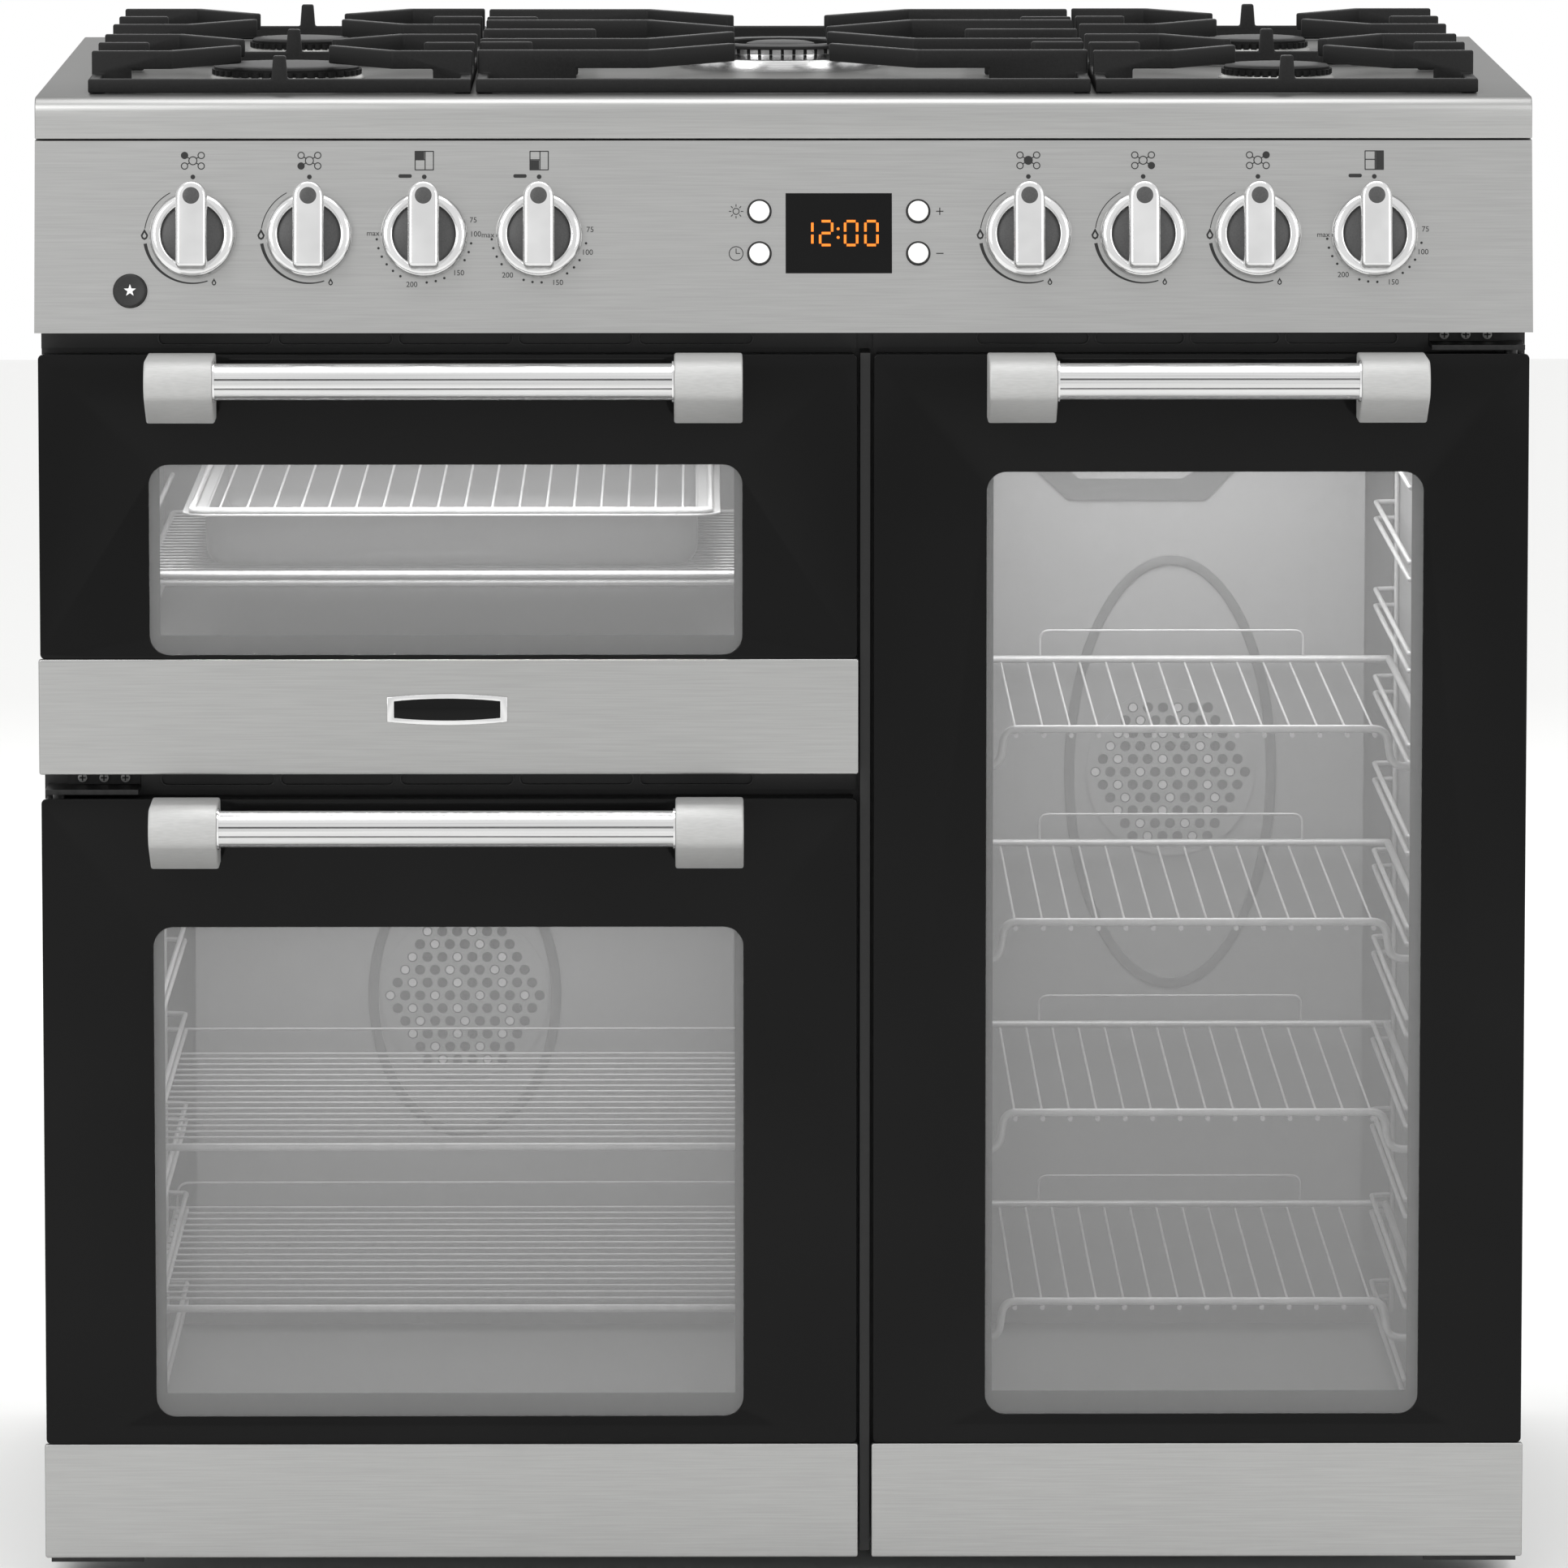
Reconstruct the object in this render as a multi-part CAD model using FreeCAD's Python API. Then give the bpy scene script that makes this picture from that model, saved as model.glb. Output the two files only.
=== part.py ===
import FreeCAD, Part
import math
import os

# Range cooker, free standing, three compartments under a five burner gas hob.
# Millimetres. X runs to the right, Y to the rear, Z up. While a piece is made, Y is
# measured from the doors' front plane; save() moves it so that the origin is under the middle.

V = FreeCAD.Vector

# Case
CASE_W = 900.0
SIDE_INSET = 2.0
SHEET = 1.2
PLATE = 1.5
FOOT_H = 18.0
TRAY_LIFT = 2.0
REAR_RECESS = 14.0

# Front layout, upwards from the doors' lower edge
MAIN_DOOR_H = 465.0
DOOR_GAP = 15.0
GRILL_DOOR_H = 254.0
VENT_H = 13.0
PANEL_H = 114.0
PANEL_LEAN = 22.0
HOB_SEAM = 1.0
HOB_LIP_H = 25.0
HOB_LIP_R = 8.0
PILLAR_X = 49.0
PILLAR_GAP = 10.0
PILLAR_W = 6.0
PILLAR_FRONT = 10.0

# Doors
GLASS_T = 4.0
GLASS_SEAT = 0.5
DOOR_T = 36.0
FACE_D = 42.0
TRIM_H = 70.0
TRIM_PROUD = 1.5
TRIM_SIDE = 1.0
FRAME_INSET = 2.0
PANE_LAP = 12.0
PANE_SIDE = 5.0
PANE_BOTTOM = 8.0
SEAL_W = 10.0
SEAL_OUT = 4.0
SEAL_CLEAR = 0.4

# Vent slots: lengths along each row, and where the row starts from its door's edge
LEFT_SLOTS = (68.0, 68.0, 68.0, 68.0, 68.0)
RIGHT_SLOTS = (67.0, 53.0, 53.0, 67.0)
LEFT_SLOT_START = 71.0
RIGHT_SLOT_START = 63.0
SLOT_SPACE = 4.5
SLOT_H = 7.0
VENT_CLEAR = 0.5

# Windows: margins from the door's left, right, lower and upper edges
GRILL_WINDOW = (66.0, 69.0, 72.5, 66.4)
MAIN_WINDOW = (67.0, 68.5, 87.0, 78.0)
TALL_WINDOW = (68.0, 63.0, 88.0, 71.0)

# Handles
HANDLE_R = 11.0
HANDLE_OUT = 48.0
CAP_W = 41.0
CAP_R = 13.0
CAP_DROP = 27.0
CAP_TOE = 25.0
HANDLE_FROM_TOP = 12.0
TUBE_WALL = 1.5

# Hinges
PIN_R = 4.0
RUN_CLEAR = 0.05
SIDE_PIN_INSET = 10.0
SIDE_PIN_D = 20.0
BRACKET_T = 3.0
BRACKET_W = 44.0
BRACKET_INSET = 14.0
BRACKET_CLEAR = 1.5
BRACKET_FRONT = 10.0
BOSS = 8.0
BOSS_H = 26.0
SCREW_R = 3.2
SCREW_PITCH = 13.0
SCREW_H = 2.0
FLANGE_H = 11.0
FOOT_PLATE = 30.0
LUG_INSET = 40.0
LUG_T = 5.0
LUG_R = 7.0
LUG_D = 12.0
LUG_RISE = 10.0
LUG_CLEAR = 1.0
CHEEK_T = 8.0

# Cavities: distances of the inner walls from the door edges
CAVITY_SIDE = 53.0
CAVITY_BOTTOM = 60.0
CAVITY_TOP = 44.0
CAVITY_D = 438.0
INSULATION = 18.0
MOTOR_AIR = 38.1

# Shelves
WIRE = 4.0
WIRE_PITCH = 18.0
SHELF_FRONT = 18.0
SHELF_REAR = 12.0
SHELF_SIDE = 6.0
LEDGE = 12.0
LEDGE_H = 5.0
UPSTAND_H = 21.0
MAIN_UPSTAND_INSET = 8.0
TALL_UPSTAND_INSET = 55.0
MAIN_SHELVES = (180.0, 80.0)
TALL_SHELVES = (437.0, 318.5, 201.0, 84.0)
RACK_T = 3.0
RACK_MARGIN = 25.0
RACK_STRIP = 5.0
GRILL_SHELF_RISE = 52.0
GRILL_PAN_SIDE = 29.0
GRILL_PAN_FRONT = 12.0
GRILL_PAN_H = 34.0
GRILL_PAN_RIM = 14.0

# Oven fans
BAFFLE_INSET = 20.0
BAFFLE_D = 36.0
PORT_R = 3.0
PORT_PITCH = 12.0
PORT_RINGS = 4
PORT_STEP = 6
FAN_R = 52.0
FAN_T = 14.0
FAN_GAP = 10.0
BLADES = 8
MAIN_FAN_RISE = 40.0
TALL_FAN_RISE = 50.0
SHAFT_R = 4.0
SHAFT_IN = 14.0
SHAFT_END_GAP = 1.0
SHAFT_HOLE_R = 8.0
HUB_R = 8.0
MOTOR_R = 35.0
MOTOR_L = 46.0
ELEMENT_R = 75.0
ROD_R = 4.0
GRILL_RUNS = 6
GRILL_PITCH = 52.0
GRILL_SIDE = 40.0
GRILL_DROP = 14.0

# Controls: places across the panel and heights above its lower edge
KNOB_X = (-355.0, -285.0, -216.0, -147.0, 147.0, 216.0, 285.0, 355.0)
KNOB_NAMES = ("knob_rear_left", "knob_front_left", "knob_grill", "knob_main_oven",
              "knob_wok", "knob_front_right", "knob_rear_right", "knob_tall_oven")
OVEN_KNOBS = ("knob_grill", "knob_main_oven", "knob_tall_oven")
KNOB_RISE = 58.0
KNOB_R = 26.0
KNOB_SKIRT = 7.0
KNOB_H = 27.0
GRIP_W = 18.5
GRIP_TOP = 30.0
GRIP_TAIL = 17.0
KNOB_CLEAR = 0.6
SPINDLE_R = 4.0
SPINDLE_HOLE_R = 5.0
SPINDLE_DEEP = 32.0
SPINDLE_UP = 14.0
BUSH_R = 7.0
BUSH_L = 18.0
TAP_SIZE = 24.0
TAP_L = 36.0
OVEN_CONTROL_SIZE = 34.0
OVEN_CONTROL_L = 30.0
RAIL_SIZE = 16.0
RAIL_WALL = 2.0
RAIL_OVER = 20.0
CLOCK_X = 33.0
CLOCK_RISE = 59.0
LENS_W = 63.5
LENS_H = 48.0
LENS_PROUD = 0.5
CLOCK_W = 124.0
CLOCK_H = 62.0
CLOCK_L = 30.0
BUTTON_R = 7.0
BUTTON_SPAN = 47.7
BUTTON_RISES = (72.0, 47.0)
BUTTON_NAMES = (("button_light", "button_clock"), ("button_plus", "button_minus"))
BUTTON_PROUD = 3.0
BUTTON_DEEP = 10.0
BUTTON_TRAVEL = 2.5
IGNITION_INSET = 57.5
IGNITION_RISE = 25.0
IGNITION_R = 10.0
SWITCH_SIZE = 30.0
HOLE_CLEAR = 0.4
PANEL_CUT = 3.0

# Hob
SUPPORT_FRONT = 53.0
SUPPORT_REAR = 27.0
SIDE_SUPPORT_W = 231.0
WOK_SUPPORT_W = 371.0
SUPPORT_GAP = 3.0
SUPPORT_LEG = 0.5
SUPPORT_LEG_L = 14.0
SUPPORT_BAR_H = 8.5
BAR_T = 7.0
FINGER_RISE = 3.0
FINGER_H = 11.0
FINGER_T = 6.5
BASE_H = 6.0
CAP_H = 4.0
BASE_EXTRA = 6.0
FRONT_LEFT_R = 47.0
REAR_R = 33.5
FRONT_RIGHT_R = 35.0
WOK_R = 63.5
WOK_RING_IN = 34.0
WOK_RING_OUT = 60.5
WOK_CAP_R = 22.0

# Finger routes on the pan supports, in plan, measured from the burner's centre
SIDE_BEND = (68.0, 80.0)
SIDE_TIP = (30.0, 30.0)
SIDE_SHORT = 28.0
POST_W = 11.0
POST_TOP_W = 7.5
SIDE_WEB = 24.0
WOK_WEB = 60.0
WOK_BEND = 82.5
WOK_TIP = 32.0
WOK_ROOTS = (204.0, 93.0)
WOK_TIPS = (142.0, 27.0)
WOK_SHORT_Y = 125.0
WOK_SHORT = 29.0
WOK_MIDDLE = 67.0

# Services and feet
FOOT_R = 22.0
FOOT_PAD = 8.0
STEM_R = 6.0
FOOT_INSET = 60.0
INLET_R = 10.5
INLET_L = 12.0
PIPE_R = 6.0
TERMINAL_W = 110.0
TERMINAL_H = 70.0
TERMINAL_D = 12.0
TERMINAL_X = -330.0
TERMINAL_Z = 740.0
TIP_HOLE_R = 2.5
TIP_SPACING = 100.0
TIP_Z = 700.0

# Heights and places worked out from the sizes above
FRAME_D = FACE_D + PLATE
CAVITY_BACK = FRAME_D + CAVITY_D
MOTOR_FRONT = CAVITY_BACK + SHEET + INSULATION
REAR_D = MOTOR_FRONT + MOTOR_L + MOTOR_AIR + SHEET
CASE_D = REAR_D + REAR_RECESS
CASE_X = CASE_W / 2 - SIDE_INSET
DOOR_Y = (CAP_R + HANDLE_OUT - CASE_D) / 2
MAIN_Z = FOOT_H
GRILL_Z = MAIN_Z + MAIN_DOOR_H + DOOR_GAP
DOORS_TOP = GRILL_Z + GRILL_DOOR_H
PANEL_Z = DOORS_TOP + VENT_H
HOB_UNDER = PANEL_Z + PANEL_H + HOB_SEAM
HOB_Z = HOB_UNDER + HOB_LIP_H
LEFT_X1 = PILLAR_X - PILLAR_GAP / 2
RIGHT_X0 = PILLAR_X + PILLAR_GAP / 2
BASE_Z = FOOT_H + TRAY_LIFT
PANEL_ANGLE = math.degrees(math.atan2(PANEL_LEAN, PANEL_H))
PANEL_WALL = PLATE / math.cos(math.radians(PANEL_ANGLE))
BAFFLE_FRONT = CAVITY_BACK - BAFFLE_D
SHELF_D = CAVITY_D - BAFFLE_D - SHELF_FRONT - SHELF_REAR
IGNITION_X = IGNITION_INSET - CASE_W / 2
SIDE_BURNER_X = WOK_SUPPORT_W / 2 + SUPPORT_GAP + SIDE_SUPPORT_W / 2
SUPPORT_D = CASE_D - SUPPORT_FRONT - SUPPORT_REAR
SUPPORT_MID = SUPPORT_FRONT + SUPPORT_D / 2
BURNER_PITCH = SUPPORT_D / 2
BAR_TOP = HOB_Z + SUPPORT_LEG + SUPPORT_BAR_H
FINGER_Z = BAR_TOP + FINGER_RISE


def box(x0, x1, y0, y1, z0, z1):
    return Part.makeBox(x1 - x0, y1 - y0, z1 - z0, V(x0, y0, z0))


def rod(radius, start, end):
    along = V(*end) - V(*start)
    return Part.makeCylinder(radius, along.Length, V(*start), along)


def prism(points, x0, x1):
    """Solid between x0 and x1 with a section of (depth, height) points."""
    corners = [V(x0, d, z) for d, z in points]
    return Part.Face(Part.makePolygon(corners + corners[:1])).extrude(V(x1 - x0, 0, 0))


def joined(shapes):
    whole = shapes[0]
    if len(shapes) > 1:
        whole = whole.multiFuse(shapes[1:])
    return whole.removeSplitter()


def plate_around(x0, x1, y0, y1, z0, z1, mouths):
    """Upright plate around mouths set one above another: two stiles and the rails between them."""
    left, right = mouths[0][:2]
    strips = [box(x0, left, y0, y1, z0, z1), box(right, x1, y0, y1, z0, z1)]
    levels = [z0] + [z for mouth in mouths for z in mouth[2:]] + [z1]
    for low, high in zip(levels[::2], levels[1::2]):
        strips.append(box(left, right, y0, y1, low, high))
    return strips


def hoop(x0, x1, y0, y1, width, z0, z1):
    """Four strips of one width along the edges of a lying rectangle."""
    strips = [box(x0, x1, y, y + width, z0, z1) for y in (y0, y1 - width)]
    strips += [box(x, x + width, y0 + width, y1 - width, z0, z1) for x in (x0, x1 - width)]
    return strips


def save(name, solids):
    """Write one node, moved so that the whole part's origin is under its middle."""
    moved = Part.makeCompound(solids).translated(V(0, DOOR_Y, 0))
    moved.exportStep(os.path.join("parts", name + ".step"))


def on_panel(shape, x, rise):
    """Move a shape from the panel's own axes (Y up the slope, Z outwards) to its place."""
    shape = shape.copy()
    shape.rotate(V(0, 0, 0), V(1, 0, 0), 90 - PANEL_ANGLE)
    shape.translate(V(x, PANEL_LEAN * rise / PANEL_H, PANEL_Z + rise))
    return shape


class Door:
    """Places of one door: its edges, its window and the cavity behind it."""

    def __init__(self, name, x0, x1, z0, height, window, hinge_side):
        left, right, lower, upper = window
        self.name = name
        self.x0, self.x1 = x0, x1
        self.z0, self.z1 = z0, z0 + height
        self.window = (x0 + left + PANE_SIDE, x1 - right - PANE_SIDE,
                       z0 + lower + PANE_BOTTOM, self.z1 - upper)
        self.handle = (x0 + left, x1 - right, self.z1 - HANDLE_FROM_TOP)
        self.hinge_side = hinge_side
        self.cavity = (x0 + CAVITY_SIDE, x1 - CAVITY_SIDE, z0 + CAVITY_BOTTOM, self.z1 - CAVITY_TOP)
        self.middle = ((self.cavity[0] + self.cavity[1]) / 2, (self.cavity[2] + self.cavity[3]) / 2)

    def pin_x(self):
        if self.hinge_side < 0:
            return self.x0 + SIDE_PIN_INSET
        return self.x1 - SIDE_PIN_INSET


GRILL = Door("grill_door", -CASE_X, LEFT_X1, GRILL_Z, GRILL_DOOR_H, GRILL_WINDOW, 0)
MAIN = Door("main_door", -CASE_X, LEFT_X1, MAIN_Z, MAIN_DOOR_H, MAIN_WINDOW, -1)
TALL = Door("tall_door", RIGHT_X0, CASE_X, MAIN_Z, DOORS_TOP - MAIN_Z, TALL_WINDOW, 1)
DOORS = (GRILL, MAIN, TALL)
OVENS = (MAIN, TALL)


def lug_places():
    return (GRILL.x0 + LUG_INSET, GRILL.x1 - LUG_INSET)


def door_glass(door):
    return box(door.x0, door.x1, 0, GLASS_T, door.z0 + TRIM_H, door.z1)


def door_trim(door):
    """Folded steel strip over the door's lower edge, open at its back."""
    x0, x1 = door.x0 - TRIM_SIDE, door.x1 + TRIM_SIDE
    strip = box(x0, x1, -TRIM_PROUD, GLASS_T, door.z0, door.z0 + TRIM_H)
    return strip.cut(box(x0 + PLATE, x1 - PLATE, 0, GLASS_T, door.z0 + PLATE, door.z0 + TRIM_H - PLATE))


def door_frame(door):
    """Steel box behind the glass: a back plate with a window, four strips, hinge blocks and their pins."""
    x0, x1 = door.x0 + FRAME_INSET, door.x1 - FRAME_INSET
    z0, z1 = door.z0 + FRAME_INSET, door.z1 - FRAME_INSET
    front, back = GLASS_T + GLASS_SEAT, DOOR_T - PLATE
    solids = plate_around(x0, x1, back, DOOR_T, z0, z1, [door.window])
    solids += [box(x, x + PLATE, front, back, z0, z1) for x in (x0, x1 - PLATE)]
    solids += [box(x0 + PLATE, x1 - PLATE, front, back, z, z + PLATE) for z in (z0, z1 - PLATE)]
    inside = box(x0 + PLATE, x1 - PLATE, front, back, z0 + PLATE, z1 - PLATE)
    pins, slots = [], []
    if door.hinge_side:
        x = door.pin_x()
        reach = BRACKET_CLEAR + BRACKET_T
        upper = (z1 - BOSS_H, z1 - BOSS_H, door.z1 + reach)
        lower = (z0, door.z0 - reach, z0 + BOSS_H)
        for end, low, high in (upper, lower):
            block = box(x - BOSS, x + BOSS, SIDE_PIN_D - BOSS, SIDE_PIN_D + BOSS, end, end + BOSS_H)
            solids.append(block.common(inside))
            pins.append(rod(PIN_R, (x, SIDE_PIN_D, low), (x, SIDE_PIN_D, high)))
    else:
        z = door.z0 + LUG_RISE
        slot = LUG_T / 2 + LUG_CLEAR
        reach = slot + CHEEK_T
        top = z + LUG_R + LUG_CLEAR
        for x in lug_places():
            for start in (x - reach, x + slot):
                solids.append(box(start, start + CHEEK_T, front, back, z0 + PLATE, top))
            slots.append(box(x - slot, x + slot, front, DOOR_T, z0, top))
            pins.append(rod(PIN_R, (x - reach, LUG_D, z), (x + reach, LUG_D, z)))
    cuts = Part.makeCompound(slots + pins)
    return [solid.cut(cuts) for solid in solids] + pins


def door_pane(door):
    wx0, wx1, wz0, wz1 = door.window
    back = DOOR_T - PLATE
    return box(wx0 - PANE_LAP, wx1 + PANE_LAP, back - GLASS_T, back, wz0 - PANE_LAP, wz1 + PANE_LAP)


def door_handle(door):
    """Bar between two end caps, whose lower face slants back from a round nose."""
    x0, x1, z = door.handle
    front = -HANDLE_OUT
    bar = rod(HANDLE_R, (x0 + CAP_W, front, z), (x1 - CAP_W, front, z))
    bar = bar.cut(rod(HANDLE_R - TUBE_WALL, (x0 + CAP_W, front, z), (x1 - CAP_W, front, z)))
    solids = [bar]
    back, down = HANDLE_OUT - CAP_TOE, -CAP_DROP
    turn = math.atan2(down, back) - math.acos(CAP_R / math.hypot(back, down))
    leave = (front + CAP_R * math.cos(turn), z + CAP_R * math.sin(turn))
    for start in (x0, x1 - CAP_W):
        web = prism([(0, z + CAP_R), (front, z + CAP_R), (front, z), leave, (-CAP_TOE, z - CAP_DROP),
                     (0, z - CAP_DROP)], start, start + CAP_W)
        nose = rod(CAP_R, (start, front, z), (start + CAP_W, front, z))
        solids.append(joined([web, nose]))
    return solids


def front_frame():
    """Black face plate around the three oven mouths, and the pillar between the doors."""
    left = plate_around(-CASE_X, PILLAR_X, FACE_D, FRAME_D, BASE_Z, PANEL_Z, [MAIN.cavity, GRILL.cavity])
    right = plate_around(PILLAR_X, CASE_X, FACE_D, FRAME_D, BASE_Z, PANEL_Z, [TALL.cavity])
    pillar = box(PILLAR_X - PILLAR_W / 2, PILLAR_X + PILLAR_W / 2, PILLAR_FRONT, FACE_D, BASE_Z, DOORS_TOP)
    return left + right + [pillar]


def vent_strip(x0, x1, z0, z1, start, lengths):
    """Strip on the face plate with a row of round ended slots."""
    y0 = FACE_D - BRACKET_T
    strip = box(x0, x1, y0, FACE_D, z0 + VENT_CLEAR, z1 - VENT_CLEAR)
    middle = (z0 + z1) / 2
    radius = SLOT_H / 2
    left = start
    for length in lengths:
        ends = (left + radius, left + length - radius)
        strip = strip.cut(box(*ends, y0, FACE_D, middle - radius, middle + radius))
        for x in ends:
            strip = strip.cut(rod(radius, (x, y0, middle), (x, FACE_D, middle)))
        left += length + SLOT_SPACE
    return strip


def vent_strips():
    bracket_left = MAIN.x0 + BRACKET_INSET + BRACKET_W + VENT_CLEAR
    bracket_right = TALL.x1 - BRACKET_INSET - BRACKET_W - VENT_CLEAR
    left_start = GRILL.x0 + LEFT_SLOT_START
    return [
        vent_strip(GRILL.x0, GRILL.x1, DOORS_TOP, PANEL_Z, left_start, LEFT_SLOTS),
        vent_strip(bracket_left, MAIN.x1, MAIN.z1, GRILL.z0, left_start, LEFT_SLOTS),
        vent_strip(TALL.x0, bracket_right, DOORS_TOP, PANEL_Z, TALL.x0 + RIGHT_SLOT_START, RIGHT_SLOTS),
    ]


def side_bracket(door, upper):
    """Hinge bracket of a side hung door: a tongue around the pin and a foot on the case."""
    outer = door.x0 + FRAME_INSET if door.hinge_side < 0 else door.x1 - FRAME_INSET
    side = -door.hinge_side
    near = outer + side * (BRACKET_INSET - FRAME_INSET)
    far = near + side * BRACKET_W
    tongue_x = (min(outer, far), max(outer, far))
    foot_x = (min(near, far), max(near, far))
    if upper:
        z = door.z1 + BRACKET_CLEAR
        tongue = box(*tongue_x, BRACKET_FRONT, FACE_D, z, z + BRACKET_T)
        foot = box(*foot_x, FACE_D - BRACKET_T, FACE_D, z, z + FLANGE_H)
    else:
        z = door.z0 - BRACKET_CLEAR - BRACKET_T
        tongue = box(*tongue_x, BRACKET_FRONT, FRAME_D + FOOT_PLATE, z, z + BRACKET_T)
        foot = box(*foot_x, FRAME_D, FRAME_D + FOOT_PLATE, z, BASE_Z)
    hole = rod(PIN_R + RUN_CLEAR, (door.pin_x(), SIDE_PIN_D, z), (door.pin_x(), SIDE_PIN_D, z + BRACKET_T))
    return joined([tongue, foot]).cut(hole)


def bracket_screws(door):
    """Three round screw heads on the upper bracket."""
    side = -door.hinge_side
    outer = door.x0 if door.hinge_side < 0 else door.x1
    middle = outer + side * (BRACKET_INSET + BRACKET_W / 2)
    z = door.z1 + BRACKET_CLEAR + (BRACKET_T + FLANGE_H) / 2
    seat = FACE_D - BRACKET_T
    places = [middle + step * SCREW_PITCH for step in (-1, 0, 1)]
    return [rod(SCREW_R, (x, seat - SCREW_H, z), (x, seat, z)) for x in places]


def grill_lug(x):
    """Fixed lug that carries one pin of the drop down door."""
    z = GRILL.z0 + LUG_RISE
    eye = rod(LUG_R, (x - LUG_T / 2, LUG_D, z), (x + LUG_T / 2, LUG_D, z))
    arm = box(x - LUG_T / 2, x + LUG_T / 2, LUG_D, FACE_D, z - LUG_R, z + LUG_R)
    hole = rod(PIN_R + RUN_CLEAR, (x - LUG_T / 2, LUG_D, z), (x + LUG_T / 2, LUG_D, z))
    return joined([eye, arm]).cut(hole)


def hinge_brackets():
    solids = [grill_lug(x) for x in lug_places()]
    for door in OVENS:
        solids += [side_bracket(door, True), side_bracket(door, False)]
        solids += bracket_screws(door)
    return solids


def door_seal(door):
    x0, x1, z0, z1 = door.cavity
    out = SEAL_OUT + SEAL_W
    ring = box(x0 - out, x1 + out, DOOR_T + SEAL_CLEAR, FACE_D, z0 - out, z1 + out)
    hole = box(x0 - SEAL_OUT, x1 + SEAL_OUT, DOOR_T + SEAL_CLEAR, FACE_D, z0 - SEAL_OUT, z1 + SEAL_OUT)
    return ring.cut(hole)


def fan_place(door):
    x, z = door.middle
    return x, z + (MAIN_FAN_RISE if door is MAIN else TALL_FAN_RISE)


def fan_hole(door):
    x, z = fan_place(door)
    return rod(SHAFT_HOLE_R, (x, CAVITY_BACK, z), (x, MOTOR_FRONT, z))


def cavity_shell(door):
    x0, x1, z0, z1 = door.cavity
    shell = box(x0 - SHEET, x1 + SHEET, FRAME_D, CAVITY_BACK + SHEET, z0 - SHEET, z1 + SHEET)
    shell = shell.cut(box(x0, x1, FRAME_D, CAVITY_BACK, z0, z1))
    if door in OVENS:
        shell = shell.cut(fan_hole(door))
    return shell


def insulation(door):
    x0, x1, z0, z1 = door.cavity
    out = SHEET + INSULATION
    wool = box(x0 - out, x1 + out, FRAME_D, MOTOR_FRONT, z0 - out, z1 + out)
    wool = wool.cut(box(x0 - SHEET, x1 + SHEET, FRAME_D, CAVITY_BACK + SHEET, z0 - SHEET, z1 + SHEET))
    if door in OVENS:
        wool = wool.cut(fan_hole(door))
    return wool


def grid_plate(x0, x1, y0, y1, z, along_x):
    """Flat net of wires: a border and evenly spaced wires between its sides."""
    wires = hoop(x0, x1, y0, y1, WIRE, z, z + WIRE)
    span = (y1 - y0 if along_x else x1 - x0) - WIRE
    count = round(span / WIRE_PITCH)
    for index in range(1, count):
        near = index * span / count
        if along_x:
            wires.append(box(x0 + WIRE, x1 - WIRE, y0 + near, y0 + near + WIRE, z, z + WIRE))
        else:
            wires.append(box(x0 + near, x0 + near + WIRE, y0 + WIRE, y1 - WIRE, z, z + WIRE))
    return wires


def oven_levels(door):
    rises = MAIN_SHELVES if door is MAIN else TALL_SHELVES
    return [door.cavity[2] + rise for rise in rises]


def oven_shelf(door, z):
    x0, x1 = door.cavity[0] + SHELF_SIDE, door.cavity[1] - SHELF_SIDE
    y0 = FRAME_D + SHELF_FRONT
    y1 = y0 + SHELF_D
    grid = grid_plate(x0, x1, y0, y1, z, door is MAIN)
    inset = MAIN_UPSTAND_INSET if door is MAIN else TALL_UPSTAND_INSET
    upstand = box(x0 + inset, x1 - inset, y1 - WIRE, y1, z, z + UPSTAND_H)
    return joined(grid + [upstand])


def side_rack(door, side):
    """Runner frame on one side wall: a plate with windows and a ledge under each shelf."""
    x0, x1, z0, z1 = door.cavity
    wall = x0 if side < 0 else x1
    y0 = FRAME_D + SHELF_FRONT
    y1 = y0 + SHELF_D
    low, high = z0 + RACK_MARGIN, z1 - RACK_MARGIN
    near, far = sorted((wall, wall - side * RACK_T))
    ledge = sorted((wall, wall - side * (RACK_T + LEDGE)))
    rack = box(near, far, y0, y1, low, high)
    stops = [low] + sorted(oven_levels(door)) + [high]
    for bottom, top in zip(stops, stops[1:]):
        window = (bottom + RACK_STRIP, top - LEDGE_H - RACK_STRIP)
        rack = rack.cut(box(near, far, y0 + LEDGE, y1 - LEDGE, *window))
    ledges = [box(*ledge, y0, y1, z - LEDGE_H, z) for z in oven_levels(door)]
    return joined([rack] + ledges)


def grill_shelf_place():
    """The grill shelf's box in plan, and the level that its runners carry."""
    x0, x1, z0, z1 = GRILL.cavity
    y0 = FRAME_D + SHELF_FRONT
    return x0, x1, y0, y0 + SHELF_D, z0 + GRILL_SHELF_RISE


def grill_pan_place():
    """The grill pan's box in plan, its underside on the shelf, and its rim."""
    x0, x1, y0, y1, level = grill_shelf_place()
    low = level + WIRE
    return (x0 + GRILL_PAN_SIDE, x1 - GRILL_PAN_SIDE, y0 + GRILL_PAN_FRONT, y1 - GRILL_PAN_FRONT,
            low, low + GRILL_PAN_H)


def shelf_runners():
    x0, x1, y0, y1, level = grill_shelf_place()
    solids = [box(x0, x0 + LEDGE, y0, y1, level - LEDGE_H, level),
              box(x1 - LEDGE, x1, y0, y1, level - LEDGE_H, level)]
    return solids + [side_rack(door, side) for door in OVENS for side in (-1, 1)]


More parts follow.
